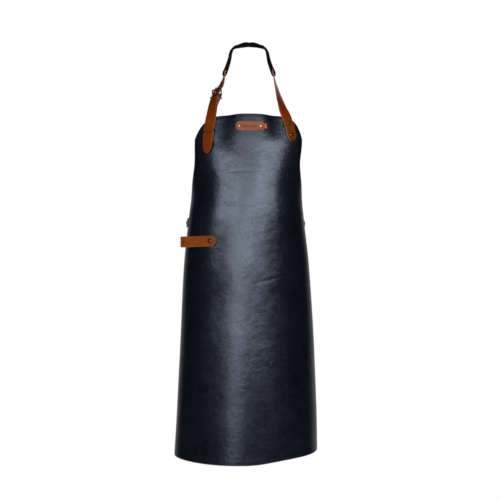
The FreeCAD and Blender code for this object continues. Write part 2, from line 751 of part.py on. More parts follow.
def towel_stud():
    """The snap: a cap with its socket in the flap, and a post with its foot through the panel."""
    seat = TOWEL_CLOSED + TOWEL_THICK
    cap = dome(STUD_CAP_R, 2.6, seat + 0.1)
    socket = Part.makeCylinder(3.0, TOWEL_THICK - 0.2, Vector(0, 0, TOWEL_CLOSED + 0.25))
    socket = socket.cut(Part.makeCylinder(2.1, 1.6, Vector(0, 0, TOWEL_CLOSED + 0.2)))
    bore = Part.makeCylinder(3.05, 8, Vector(0, 0, TOWEL_CLOSED - 1))
    top = TOWEL_CLOSED + 1.2
    base = -PANEL_THICK - TOWEL_LIFT - BACK_THICK
    post = Part.makeCylinder(POST_R, top - base, Vector(0, 0, base))
    foot_disc = Part.makeCylinder(BACK_R, BACK_THICK, Vector(0, 0, base - 0.1))
    drill = Part.makeCylinder(POST_R + POST_FIT, 12, Vector(0, 0, -8))
    return cap, socket, bore, post.fuse(foot_disc).removeSplitter(), drill


# All the pieces


def compound(shapes):
    return Part.makeCompound(shapes)


def make_nodes():
    nodes = {}
    apron = panel()

    right_line = [(RIGHT_FOLD + 2.2, FOLD_Z - FOLD_GAP)] + RIGHT_RIVETS + [RIGHT_END]
    right_foot = foot(right_line, FIT, STRAP_THICK)
    spots = []
    for x, z in RIGHT_RIVETS:
        angle = angle_at(x, z)
        spots.append((skin(angle, z, FIT + STRAP_THICK), skin_normal(angle, z)))
    caps, backs, drills = rivet_row(spots, CAP_R, CAP_HEIGHT, PANEL_THICK + STRAP_THICK + 2 * FIT)
    nodes["right_strap_foot"] = drilled(right_foot, drills)
    nodes["right_strap_rivets"] = compound(caps)
    nodes["right_strap_rivet_backs"] = compound(backs)
    apron = drilled(apron, drills)

    left_line = [(LEFT_FOLD - 0.5, FOLD_Z - FOLD_GAP)] + LEFT_RIVETS + [LEFT_END]
    left_foot = foot(left_line, stack_wave, UNDER_THICK, steps=16)
    spots = []
    for x, z in LEFT_RIVETS:
        angle = angle_at(x, z)
        spots.append((skin(angle, z, stack_wave(z) + UNDER_THICK + 2 * FIT), skin_normal(angle, z)))
    caps, backs, drills = rivet_row(spots, CAP_R, UNDER_CAP, PANEL_THICK + UNDER_THICK + 7 * FIT)
    nodes["buckle_strap_foot"] = drilled(left_foot, drills)
    nodes["left_strap_rivets"] = compound(caps)
    nodes["left_strap_rivet_backs"] = compound(backs)
    apron = drilled(apron, drills)

    nodes["adjuster_tail"] = adjuster_tail()
    low, high = 0.3 + KEEPER_R, STACK + STRAP_THICK + 0.5 + KEEPER_R
    spot, side, up, out = LOWER_KEEPER_AXES
    tilt = math.radians(LOWER_KEEPER_TILT)
    across = side * math.cos(tilt) + up * math.sin(tilt)
    axes = (spot, across, out.cross(across), out)
    nodes["lower_keeper"] = keeper(*axes, low, high, LOWER_KEEPER_SAG, LOWER_KEEPER_HALF)

    label, tag = label_and_tag()
    x, z = LABEL_CENTRE
    spots = []
    for rivet_x in LABEL_RIVETS:
        angle = angle_at(rivet_x, z)
        spots.append((skin(angle, z, FIT + LABEL_THICK), skin_normal(angle, z)))
    caps, backs, drills = rivet_row(spots, LABEL_CAP_R, 1.2, PANEL_THICK + LABEL_THICK + 2 * FIT)
    nodes["label"] = drilled(label, drills)
    nodes["side_tag"] = tag
    nodes["label_rivets"] = compound(caps)
    nodes["label_rivet_backs"] = compound(backs)
    apron = drilled(apron, drills)

    cap, socket, bore, post, drill = [towel_placed(s) for s in towel_stud()]
    nodes["towel_loop_back"] = towel_placed(towel_back_leaf()).cut(drill)
    nodes["towel_loop_flap"] = towel_placed(towel_flap_leaf()).cut(bore)
    nodes["towel_stud_cap"] = cap
    nodes["towel_stud_socket"] = socket
    nodes["towel_stud_post"] = post
    apron = apron.cut(drill)

    nodes["neck_band"] = band()
    nodes["right_strap"] = upper_right_strap()
    nodes["adjuster_strap"] = adjuster_upper()
    nodes["buckle_strap"] = buckle_strap_upper()
    axes = (BUCKLE_SPOT, BUCKLE_SIDE, BUCKLE_DOWN * -1, BUCKLE_OUT)
    nodes["neck_buckle_frame"] = buckle_frame(*axes)
    nodes["neck_buckle_prong"] = buckle_prong(*axes)
    low = -HEEL_DEPTH - WIRE_R - BAR_FIT - UNDER_THICK - BAR_FIT - KEEPER_R
    high = STRAP_THICK / 2 + BAR_FIT + KEEPER_R
    upper_spot = buckle_point(0, -KEEPER_FROM_HEEL, 0)
    nodes["upper_keeper"] = keeper(upper_spot, *axes[1:], low, high)

    left_belt = left_waist_strap()
    right_belt = right_waist_strap()
    spots = []
    for angle in WAIST_LEFT_RIVETS:
        spots.append((belt_point(angle, BELT_LIFT + STRAP_THICK), skin_normal(angle, WAIST_Z)))
    depth = PANEL_THICK + STRAP_THICK + BELT_LIFT + 3 * FIT
    caps, backs, drills = rivet_row(spots, CAP_R, CAP_HEIGHT, depth)
    nodes["left_waist_strap"] = drilled(left_belt, drills)
    nodes["left_waist_rivets"] = compound(caps)
    nodes["left_waist_rivet_backs"] = compound(backs)
    apron = drilled(apron, drills)
    spots = []
    for angle in WAIST_RIGHT_RIVETS:
        spots.append((belt_point(angle, BELT_LIFT + UNDER_THICK), skin_normal(angle, WAIST_Z)))
    depth = PANEL_THICK + UNDER_THICK + BELT_LIFT + 4 * FIT
    caps, backs, drills = rivet_row(spots, CAP_R * 0.8, 1.6, depth)
    nodes["right_waist_strap"] = drilled(right_belt, drills)
    nodes["right_waist_rivets"] = compound(caps)
    nodes["right_waist_rivet_backs"] = compound(backs)
    apron = drilled(apron, drills)
    axes = (WAIST_SPOT, WAIST_SIDE, WAIST_DOWN * -1, WAIST_OUT)
    nodes["waist_buckle_frame"] = buckle_frame(*axes)
    nodes["waist_buckle_prong"] = buckle_prong(*axes)
    keeper_spot = waist_point(0, -KEEPER_FROM_HEEL, 0)
    nodes["waist_keeper"] = keeper(keeper_spot, *axes[1:], low, high)

    nodes["apron_panel"] = apron
    return nodes


for name, shape in make_nodes().items():
    size = f"solids {len(shape.Solids)}  volume {shape.Volume / 1000:8.2f} cm3"
    print(f"{name:26s} {size}  valid {shape.isValid()}")
    shape.exportStep(f"parts/{name}.step")
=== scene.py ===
import math

import bpy
import numpy as np
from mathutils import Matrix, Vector


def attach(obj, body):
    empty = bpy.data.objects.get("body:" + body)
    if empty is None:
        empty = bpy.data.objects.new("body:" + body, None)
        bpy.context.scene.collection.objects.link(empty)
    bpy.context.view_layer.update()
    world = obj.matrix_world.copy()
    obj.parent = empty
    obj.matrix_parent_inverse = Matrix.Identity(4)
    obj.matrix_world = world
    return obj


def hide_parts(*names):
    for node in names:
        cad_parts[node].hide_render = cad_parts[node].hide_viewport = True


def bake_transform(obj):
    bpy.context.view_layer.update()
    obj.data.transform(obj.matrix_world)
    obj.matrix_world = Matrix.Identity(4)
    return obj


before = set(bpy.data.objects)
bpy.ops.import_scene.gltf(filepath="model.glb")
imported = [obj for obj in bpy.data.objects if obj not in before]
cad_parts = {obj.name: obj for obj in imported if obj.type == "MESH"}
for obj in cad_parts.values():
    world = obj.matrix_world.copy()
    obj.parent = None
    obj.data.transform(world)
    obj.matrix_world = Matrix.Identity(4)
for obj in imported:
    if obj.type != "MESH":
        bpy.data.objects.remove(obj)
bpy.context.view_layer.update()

# ---- sizes, in millimetres
MM = 0.001
PANEL_THICK = 3.0
BIB_TOP = -208.0  # height of the middle of the bib's top edge
BIB_BOW = 15.0  # the top edge falls by this much in a gentle curve
SHOULDER_DROP = 47.0  # and by this much more towards its corners
SHOULDER_POWER = (5.4, 10)  # the left shoulder is straight and the right one is full
HEM = -1087.0
HEM_RISE = (4.5, 9.5)  # the hem is higher by this much at its left and right ends
HEM_BEND = (0.6, 0.25)  # how soon it rises, as parts of the half width
# How the panel lies round the body: height, half width, half depth, front, centre, wrap, skew.
# The wrap is the angle from the front to the side edge, and the skew turns the lower part.
BODY = [
    (-208, 169, 95, -165, -3, 52, 0.00),
    (-270, 166, 96, -172, -1.5, 56, 0.00),
    (-340, 152, 99, -178, -5, 64, 0.00),
    (-400, 144, 102, -182, -6, 84, 0.00),
    (-470, 150, 106, -186, -7, 108, 0.02),
    (-574, 162, 115, -188, -6.5, 108, 0.05),
    (-678, 169.5, 125, -190, -4.5, 106, 0.07),
    (-782, 175, 133, -194, -3, 104, 0.09),
    (-938, 182, 142, -201, -2, 101, 0.11),
    (-1100, 188, 149, -208, -5, 99, 0.12),
]
STRAP = 25.0
STRAP_THICK = 3.0
UNDER_THICK = 2.6  # the buckle strap, which lies under the adjuster strap
FIT = 0.2  # gap between layers that lie on each other
BAND_WIDTH = 27.0
END_SLANT = 7.0  # one side of the neck band's open end is longer by this much
# The height of the line where the straps bend at the bib's top edge
FOLD_Z = -211.0
WIRE_R = 1.7  # of a buckle's bars
BAR_FIT = 0.4  # gap between a folded strap and its bar
EYE_R = WIRE_R + BAR_FIT + UNDER_THICK / 2  # of the folded strap's middle
HEEL_DEPTH = 6.5  # heel bar behind the middle of the strap that comes through
LEAF_LENGTH = 14.0  # the folded strap's leaf is straight this far below the bar
FLAP_LENGTH = 34.0  # and its other leaf ends this far below it
STACK = 5.8  # the adjuster strap's underside from the panel, where it lies on the buckle strap
LOWER_KEEPER_Z = -251.0
KEEPER_LIFT = 2.7  # the buckle strap rises by this much over the lower keeper
KEEPER_WAVE = 15.0  # and this far above and below it
PUNCH_R = 1.6
# The slots that the prong goes through, in the strap that comes through a buckle and in the folded
# one. Half of each cutter: along, across and through the strap, or through, across and along the fold.
PRONG_SLOT = (5.7, 2.1, 6)
PRONG_SLOT_UP = 4.0  # its middle from the buckle's middle
EYE_SLOT = (9.0, 3.3, 6.5)
EYE_SLOT_UP = 3.0
BELT_LIFT = 1.1  # the belt's feet stand off the panel
WAIST_Z = -481.0
LABEL_CENTRE = (3.2, -239.8)
LABEL_SIZE = (74.0, 24.0)
LABEL_RIVETS = (-24.6, 29.7)
TAG_LENGTH = 10.5
TAG_WIDTH = 12.0
TOWEL_STUD = (-96.0, -529.6)
TOWEL_TILT = -0.035  # its free end is a little lower than its stud
TOWEL_LENGTH = 82.0  # from the stud to the fold
TOWEL_END = 15.0  # from the stud to the free end
TOWEL_WIDTH = 27.0
TOWEL_THICK = 2.2
TOWEL_INNER = 4.0  # inside radius of its fold
TOWEL_LIFT = 0.6  # its flat back leaf stands off the round panel
STUD_HOLE_R = 3.3
UP = Vector((0, 0, 1))


# ---- the shape of the wearer's body
def through(knots, rows, at):
    """The place on a smooth curve through the rows, which lie at rising knots."""
    last = len(rows) - 1
    i = min(last - 1, max((k for k in range(last + 1) if knots[k] <= at + 1e-9), default=0))
    low, high = max(i - 1, 0), min(i + 2, last)
    width = knots[i + 1] - knots[i]
    slope_a = (rows[i + 1] - rows[low]) / (knots[i + 1] - knots[low])
    slope_b = (rows[high] - rows[i]) / (knots[high] - knots[i])
    t = (at - knots[i]) / width
    start = rows[i] * (2 * t**3 - 3 * t**2 + 1) + slope_a * ((t**3 - 2 * t**2 + t) * width)
    return start + rows[i + 1] * (3 * t**2 - 2 * t**3) + slope_b * ((t**3 - t**2) * width)


HEIGHTS = np.arange(-1110.0, -190.0, 1.0)
BODY_ROWS = np.array(BODY)
PROFILE = np.array([through(-BODY_ROWS[:, 0], BODY_ROWS[:, 1:], -z) for z in HEIGHTS])


def body_at(z):
    """Half width, half depth, front, centre, wrap and skew at a height."""
    return [np.interp(z, HEIGHTS, PROFILE[:, k]) for k in range(6)]


def bare_skin(angle, z):
    """The point of the smooth panel's outer side at an angle round the body and a height."""
    half, depth, front, centre, wrap, skew = body_at(z)
    t = np.radians(angle)
    across = half * np.sin(t)
    y = front + depth * (1 - np.cos(t)) + skew * across
    return np.stack(np.broadcast_arrays(centre + across, y, z), -1).astype(float)


def skin_normal(angle, z):
    around = bare_skin(angle + 0.5, z) - bare_skin(angle - 0.5, z)
    upward = bare_skin(angle, z + 1.5) - bare_skin(angle, z - 1.5)
    way = np.cross(around, upward)
    return way / np.linalg.norm(way, axis=-1, keepdims=True)


def skin(angle, z, lift=0.0):
    lift = np.asarray(lift, float)[..., None]
    return bare_skin(angle, z) + skin_normal(angle, z) * lift


def angle_at(x, z):
    half, depth, front, centre, wrap, skew = body_at(z)
    return np.degrees(np.arcsin((x - centre) / half))


def on_bib(x, z, lift=0.0):
    return Vector(skin(angle_at(x, z), z, lift)), Vector(skin_normal(angle_at(x, z), z))


def square_to(way, axis):
    return (way - axis * way.dot(axis)).normalized()


def mirrored(v):
    return Vector((-v[0], v[1], v[2]))


# ---- materials
class Graph:
    """A node tree, with short calls for the nodes that the materials share."""

    def __init__(self, tree, place="Object"):
        tree.nodes.clear()
        self.tree = tree
        self.place = self.node("ShaderNodeTexCoord").outputs[place]

    def node(self, kind, inputs=None, **settings):
        made = self.tree.nodes.new(kind)
        for key, value in settings.items():
            setattr(made, key, value)
        for key, source in (inputs or {}).items():
            self.put(source, made.inputs[key])
        return made

    def put(self, source, socket):
        """A number, a colour or another node's output goes into a socket."""
        if isinstance(source, (int, float)):
            socket.default_value = source
        elif isinstance(source, tuple):
            socket.default_value = (*source, 1)
        else:
            self.tree.links.new(source, socket)

    def math(self, operation, a, b=0.0):
        return self.node("ShaderNodeMath", {0: a, 1: b}, operation=operation).outputs[0]

    def noise(self, scale, detail=4.0, rough=0.55, place=None, distortion=0.0):
        inputs = {"Scale": scale, "Detail": detail, "Roughness": rough, "Distortion": distortion}
        inputs["Vector"] = place or self.place
        return self.node("ShaderNodeTexNoise", inputs).outputs["Fac"]

    def pores(self, scale):
        """The distance from the borders of small cells."""
        inputs = {"Scale": scale, "Vector": self.place}
        return self.node("ShaderNodeTexVoronoi", inputs, feature="DISTANCE_TO_EDGE").outputs["Distance"]

    def ramp(self, source, low, dark, high, light):
        made = self.node("ShaderNodeValToRGB", {"Fac": source})
        for element, at, colour in zip(made.color_ramp.elements, (low, high), (dark, light)):
            element.position = at
            element.color = (*colour, 1)
        return made.outputs["Color"]

    def span(self, source, low, high, to_low=0.0, to_high=1.0):
        inputs = {"Value": source, "From Min": low, "From Max": high, "To Min": to_low, "To Max": to_high}
        return self.node("ShaderNodeMapRange", inputs).outputs["Result"]

    def mix(self, factor, a, b):
        return self.node("ShaderNodeMix", {0: factor, 6: a, 7: b}, data_type="RGBA").outputs[2]

    def axes(self):
        return self.node("ShaderNodeSeparateXYZ", {0: self.place}).outputs

    def vector(self, x, y, z):
        return self.node("ShaderNodeCombineXYZ", {0: x, 1: y, 2: z}).outputs[0]


class Surface(Graph):
    """A material, with the graph that feeds its one shader."""

    def __init__(self, name):
        self.material = bpy.data.materials.new(name)
        self.material.use_nodes = True
        super().__init__(self.material.node_tree)
        self.shader = self.node("ShaderNodeBsdfPrincipled")
        self.node("ShaderNodeOutputMaterial", {"Surface": self.shader.outputs["BSDF"]})

    def set(self, inputs):
        for key, source in inputs.items():
            self.put(source, self.shader.inputs[key])

    def bump(self, *heights):
        """A chain of bumps: (height, distance in metres, strength)."""
        last = None
        for height, distance, strength in heights:
            inputs = {"Strength": strength, "Distance": distance, "Height": height}
            made = self.node("ShaderNodeBump", inputs)
            if last is not None:
                self.put(last, made.inputs["Normal"])
            last = made.outputs["Normal"]
        self.set({"Normal": last})


def panel_leather():
    """Waxed full-grain leather, nearly black, with a cloudy gloss, fine grain and rubbed streaks."""
    g = Surface("panel_leather")
    x, y, z = g.axes()
    clouds = g.noise(14, 3, 0.55)
    patches = g.noise(46, 4, 0.6)
    grain = g.noise(620, 3, 0.6)
    bow = g.math("MULTIPLY", g.math("MULTIPLY", x, x), 2.6)
    level = g.math("SUBTRACT", z, bow)
    across, along = 55, 330
    scaled = [g.math("MULTIPLY", v, scale) for v, scale in ((x, across), (y, across), (level, along))]
    streaks = g.noise(1.0, 4, 0.62, g.vector(*scaled), 0.6)
    rub = g.math("MULTIPLY", streaks, g.span(z, -0.58, -0.80))
    base = g.ramp(clouds, 0.3, (0.0040, 0.0038, 0.0070), 0.7, (0.0062, 0.0068, 0.0135))
    base = g.mix(g.span(patches, 0.35, 0.7, 0.0, 0.5), base, (0.0075, 0.0088, 0.0175))
    rough = g.math("ADD", g.span(clouds, 0.3, 0.7, -0.02, 0.02), 0.27)
    rough = g.math("ADD", rough, g.span(patches, 0.3, 0.7, -0.02, 0.02))
    rough = g.math("ADD", rough, g.span(grain, 0.3, 0.7, -0.03, 0.03))
    g.set({"Base Color": base, "Roughness": rough, "IOR": 1.5})
    g.set({"Specular IOR Level": 0.62, "Specular Tint": (0.75, 0.85, 1.0)})
    fine = ((rub, 0.0008, 0.4), (grain, 0.0002, 0.4), (g.pores(520), 0.00012, 0.3))
    g.bump((clouds, 0.006, 0.3), (patches, 0.0012, 0.3), *fine)
    return g.material


def tanned(name, dark, light):
    """Smooth vegetable-tanned leather with uneven dye: its surface, its colour and its bumps."""
    g = Surface(name)
    clouds = g.noise(38, 4, 0.55)
    flecks = g.noise(260, 3, 0.6)
    grain = g.noise(1500, 2, 0.6)
    base = g.ramp(clouds, 0.32, dark, 0.68, light)
    base = g.mix(g.span(flecks, 0.3, 0.7, 0.0, 0.22), base, tuple(c * 0.62 for c in dark))
    rough = g.math("ADD", g.span(flecks, 0.3, 0.7, -0.05, 0.06), 0.46)
    g.set({"Base Color": base, "Roughness": rough})
    g.set({"Specular IOR Level": 0.07, "Specular Tint": (1.0, 0.62, 0.38)})
    bumps = [(clouds, 0.0012, 0.3), (flecks, 0.0002, 0.35), (grain, 0.0001, 0.4)]
    bumps.append((g.pores(900), 0.00012, 0.4))
    return g, base, bumps


def brown_leather(name, dark, light):
    g, base, bumps = tanned(name, dark, light)
    g.bump(*bumps)
    return g.material


def raw_edge(name, dark, light):
    """The cut edge of a strap: paler, fibrous and unpolished."""
    g = Surface(name)
    fibres = g.noise(900, 4, 0.7)
    g.set({"Base Color": g.ramp(fibres, 0.3, dark, 0.7, light), "Roughness": 0.62})
    g.bump((fibres, 0.0003, 0.6))
    return g.material


def flesh_side(name, dark, light):
    """The suede-like back of the leather."""
    g = Surface(name)
    clouds = g.noise(30, 4, 0.6)
    nap = g.noise(1100, 4, 0.7)
    base = g.ramp(clouds, 0.3, dark, 0.7, light)
    base = g.mix(g.span(nap, 0.3, 0.7, 0.0, 0.4), base, tuple(c * 0.6 for c in dark))
    g.set({"Base Color": base, "Roughness": 0.85, "Sheen Weight": 0.3})
    g.bump((clouds, 0.002, 0.3), (nap, 0.0005, 0.6))
    return g.material


def metal(name, colour, rough, worn, scratch=0.25):
    """Cast or stamped metal with a worn finish."""
    g = Surface(name)
    patina = g.noise(420, 5, 0.65)
    fine = g.noise(2600, 2, 0.5)
    g.set({"Base Color": g.ramp(patina, 0.35, colour, 0.75, worn), "Metallic": 1.0})
    g.set({"Roughness": g.span(patina, 0.3, 0.7, rough - 0.07, rough + 0.12)})
    g.bump((patina, 0.00012, scratch), (fine, 0.00004, scratch))
    return g.material


def band_fabric():
    """Dull black elastic fabric with a fine texture."""
    g = Surface("band_fabric")
    base = g.ramp(g.noise(60, 3, 0.5), 0.3, (0.0022, 0.0018, 0.0022), 0.7, (0.0042, 0.0034, 0.0040))
    g.set({"Base Color": base, "Roughness": 0.85, "Specular IOR Level": 0.12})
    g.bump((g.noise(2200, 2, 0.5), 0.0004, 0.6))
    return g.material


def tag_fabric():
    """Orange woven ribbon."""
    g = Surface("tag_fabric")
    x, y, z = g.axes()
    threads = 9000
    warp, weft = [g.math("SINE", g.math("MULTIPLY", v, threads)) for v in (x, z)]
    weave = g.math("MULTIPLY", warp, weft)
    base = g.mix(g.span(weave, -1, 1), (0.90, 0.105, 0.001), (1.0, 0.16, 0.003))
    g.set({"Base Color": base, "Roughness": 0.7, "Specular IOR Level": 0.08})
    g.bump((weave, 0.0002, 0.5))
    return g.material


def label_leather():
    """Light brown embossed leather, with a plain row of pressed lozenges."""
    g = Surface("label_leather")
    x, y, z = g.axes()
    clouds = g.noise(70, 4, 0.55)
    centre_x, centre_z = LABEL_CENTRE
    half_step, half_row, half_height, soft = 0.0023, 0.0195, 0.0027, 0.0005
    along = g.math("SUBTRACT", x, centre_x * MM)
    across = g.math("ABSOLUTE", g.math("SUBTRACT", z, centre_z * MM))
    lozenge = g.math("ADD", g.math("MULTIPLY", g.math("PINGPONG", along, half_step), 1.2), across)
    inside = g.span(g.math("ABSOLUTE", along), half_row, half_row - soft)
    pressed = g.math("MULTIPLY", g.span(lozenge, half_height, half_height - soft), inside)
    base = g.ramp(clouds, 0.3, (0.235, 0.070, 0.028), 0.7, (0.335, 0.112, 0.050))
    base = g.mix(g.math("MULTIPLY", pressed, 0.55), base, (0.085, 0.030, 0.018))
    g.set({"Base Color": base, "Roughness": 0.5, "Specular IOR Level": 0.16})
    height = g.math("SUBTRACT", 1.0, pressed)
    g.bump((clouds, 0.0006, 0.3), (g.noise(1300, 3, 0.6), 0.0001, 0.5), (height, 0.0004, 0.8))
    return g.material


def pressed_dots(g, origin, along, across, columns, rows, radius):
    """1 in a grid of round marks, where columns and rows are (first, step, count) in millimetres."""
    spots = []
    for way, (first, step, count) in ((along, columns), (across, rows)):
        shifted = g.node("ShaderNodeVectorMath", {0: g.place}, operation="SUBTRACT")
        shifted.inputs[1].default_value = [v * MM for v in origin]
        reach = g.node("ShaderNodeVectorMath", {0: shifted.outputs[0]}, operation="DOT_PRODUCT")
        reach.inputs[1].default_value = way
        number = g.math("DIVIDE", g.math("SUBTRACT", reach.outputs["Value"], first * MM), step * MM)
        nearest = g.math("MINIMUM", g.math("MAXIMUM", g.math("ROUND", number), 0.0), count - 1.0)
        spots.append(g.math("MULTIPLY", g.math("SUBTRACT", number, nearest), step * MM))
    away = g.math("ADD", g.math("POWER", spots[0], 2.0), g.math("POWER", spots[1], 2.0))
    return g.span(g.math("SQRT", away), radius * MM, radius * 0.55 * MM)


def towel_leather(*place):
    """The towel loop's leather: a plain tooled grid near its fold, and a row of marks beside it."""
    g, base, bumps = tanned("towel_leather", (0.20, 0.042, 0.006), (0.30, 0.070, 0.010))
    grid = pressed_dots(g, *place, (-71.0, 5.6, 5), (-2.6, 7.0, 2), 1.7)
    seam = pressed_dots(g, *place, (-76.5, 1.0, 1), (-9.0, 2.6, 8), 0.8)
    pressed = g.math("MAXIMUM", grid, seam)
    g.set({"Base Color": g.mix(g.math("MULTIPLY", pressed, 0.55), base, (0.060, 0.014, 0.004))})
    g.bump(*bumps, (g.math("SUBTRACT", 1.0, pressed), 0.0005, 0.8))
    return g.material


def pale_floor(colour=(0.86, 0.86, 0.86)):
    """A dull pale surface that also gives off some light."""
    g = Surface("floor_pale")
    base = g.mix(g.noise(3, 2, 0.5), colour, tuple(c * 1.01 for c in colour))
    g.set({"Base Color": base, "Roughness": 0.9})
    g.set({"Emission Color": (0.95, 0.97, 1.0), "Emission Strength": FLOOR_GLOW})
    return g.material


PANEL = panel_leather()
PANEL_BACK = flesh_side("panel_flesh", (0.030, 0.027, 0.030), (0.055, 0.050, 0.054))
PANEL_EDGE = raw_edge("panel_edge", (0.010, 0.009, 0.012), (0.030, 0.028, 0.034))
COGNAC = brown_leather("cognac_leather", (0.150, 0.021, 0.0012), (0.225, 0.038, 0.0026))
COGNAC_EDGE = raw_edge("cognac_edge", (0.27, 0.085, 0.035), (0.42, 0.16, 0.08))
COGNAC_BACK = flesh_side("cognac_flesh", (0.17, 0.060, 0.022), (0.26, 0.105, 0.045))
BROWN = (COGNAC, COGNAC_EDGE, COGNAC_BACK)
LABEL = label_leather()
BAND = band_fabric()
TAG = tag_fabric()
BRONZE = metal("dark_bronze", (0.060, 0.040, 0.030), 0.34, (0.16, 0.11, 0.08))
STEEL = metal("prong_steel", (0.55, 0.50, 0.45), 0.22, (0.70, 0.66, 0.60), 0.15)
GOLD = metal("pale_gold", (0.95, 0.86, 0.62), 0.3, (1.0, 0.93, 0.75), 0.15)


# ---- meshes
def make_object(name, points, faces, slots=None, materials=(), sharp=None):
    """A mesh from points in millimetres."""
    mesh = bpy.data.meshes.new(name)
    mesh.from_pydata([tuple(p * MM for p in point) for point in points], [], faces)
    for material in materials:
        mesh.materials.append(material)
    if slots is not None:
        mesh.polygons.foreach_set("material_index", slots)
    mesh.polygons.foreach_set("use_smooth", [True] * len(mesh.polygons))
    mesh.update()
    if sharp:
        mesh.set_sharp_from_angle(angle=math.radians(sharp))
    made = bpy.data.objects.new(name, mesh)
    bpy.context.scene.collection.objects.link(made)
    return made


def ring_faces(a, b, around):
    """The faces between two closed rings of points, which start at the numbers a and b."""
    pairs = [(j, (j + 1) % around) for j in range(around)]
    return [[a + j, a + k, b + k, b + j] for j, k in pairs]


def cut(target, cutters):
    """Real holes: each cutter is taken out of the target's mesh."""
    for cutter in cutters:
        modifier = target.modifiers.new("hole", "BOOLEAN")
        modifier.operation = "DIFFERENCE"
        modifier.solver = "EXACT"
        modifier.object = cutter
    graph = bpy.context.evaluated_depsgraph_get()
    mesh = bpy.data.meshes.new_from_object(target.evaluated_get(graph))
    target.modifiers.clear()
    old = target.data
    target.data = mesh
    bpy.data.meshes.remove(old)
    for cutter in cutters:
        bpy.data.objects.remove(cutter)
    mesh.set_sharp_from_angle(angle=math.radians(50))
    return target


def prism(centre, way, up, half_along, half_across, depth):
    """A stadium-shaped cutter along a direction."""
    sides = 24
    side = way.cross(up).normalized()
    up = side.cross(way).normalized()
    ring = []
    for i in range(sides):
        t = 2 * math.pi * i / sides
        shift = (half_along - half_across) * (1 if math.sin(t) >= 0 else -1)
        ring.append((math.cos(t) * half_across, math.sin(t) * half_across + shift))
    points = []
    for end in (-depth, depth):
        points += [centre + side * a + up * b + way * end for a, b in ring]
    faces = [list(range(sides)), list(range(sides, 2 * sides))[::-1]]
    for i in range(sides):
        j = (i + 1) % sides
        faces.append([i, sides + i, sides + j, j])
    made = make_object("cutter", points, faces)
    made.data.materials.append(COGNAC_EDGE)
    return made


def punch(centre, way, up, depth):
    return prism(centre, way, up, PUNCH_R, PUNCH_R, depth)


def smooth_line(stations, gap):
    """Centres and directions spaced evenly on a smooth curve through the stations."""
    centres = [Vector(c) for c, n in stations]
    ways = [Vector(n) for c, n in stations]
    knots = [0.0]
    for a, b in zip(centres, centres[1:]):
        knots.append(knots[-1] + (b - a).length)
    count = max(8, int(knots[-1] / gap))
    stops = [knots[-1] * step / count for step in range(count + 1)]
    return [(through(knots, centres, at), through(knots, ways, at)) for at in stops]


def strap_profile(half, thick, crease):
    """A strap's section: across, out, and the slot of the face that follows each point."""
    r = min(0.9, thick * 0.34, half * 0.6)
    flat = half - r
    groove = min(2.4, half * 0.35)  # the creased border, in from the edge
    swell = 0.12
    line = {round(part * flat, 4) for part in (-1, -0.93, -0.6, -0.3, 0, 0.3, 0.6, 0.93, 1)}
    for k in (0.5, 0.8, 1.0, 1.2, 1.5):
        line |= {-flat + groove * k, flat - groove * k}
    points = []
    for a in sorted(line):
        from_groove = abs(flat - abs(a) - groove)
        dip = crease * math.exp(-(from_groove / 0.35) ** 2)
        crown = swell * (1 - (a / max(flat, 0.1)) ** 2)
        points.append((a, thick / 2 - dip + crown - swell, 0))
    top = thick / 2 - swell
    top_corner = [(flat + r * math.sin(t), top - r * (1 - math.cos(t))) for t in (0.5, 1.05, 1.57)]
    points += [(a, h, 1) for a, h in top_corner]
    points += [(a, -h, 1) for a, h in top_corner[::-1]]
    points += [(part * flat, -thick / 2 + 0.05, 2) for part in (1, 0.5, 0, -0.5, -1)]
    points += [(-a, -h, 1) for a, h in top_corner]
    points += [(-a, h, 1) for a, h in top_corner[::-1]]
    return points


CREASE = 0.22  # depth of the creased border


def end_reach(kind, width):
    """How long a strap's shaped end is."""
    return {"round": width / 2, "tip": width * 0.95, "square": 1.2}[kind]


def end_part(kind, away, width):
    """What part of its full width a strap has at a distance from its end."""
    reach = end_reach(kind, width)
    if away >= reach:
        return 1.0
    near = max(0.0, away / reach)
    power = 1.7 if kind == "tip" else 2
    return max(0.06, (1 - (1 - near) ** power) ** (1 / power))


def read(at, lengths, values):
    """Points or directions at distances along a line."""
    return np.stack([np.interp(at, lengths, values[:, k]) for k in range(3)], -1)


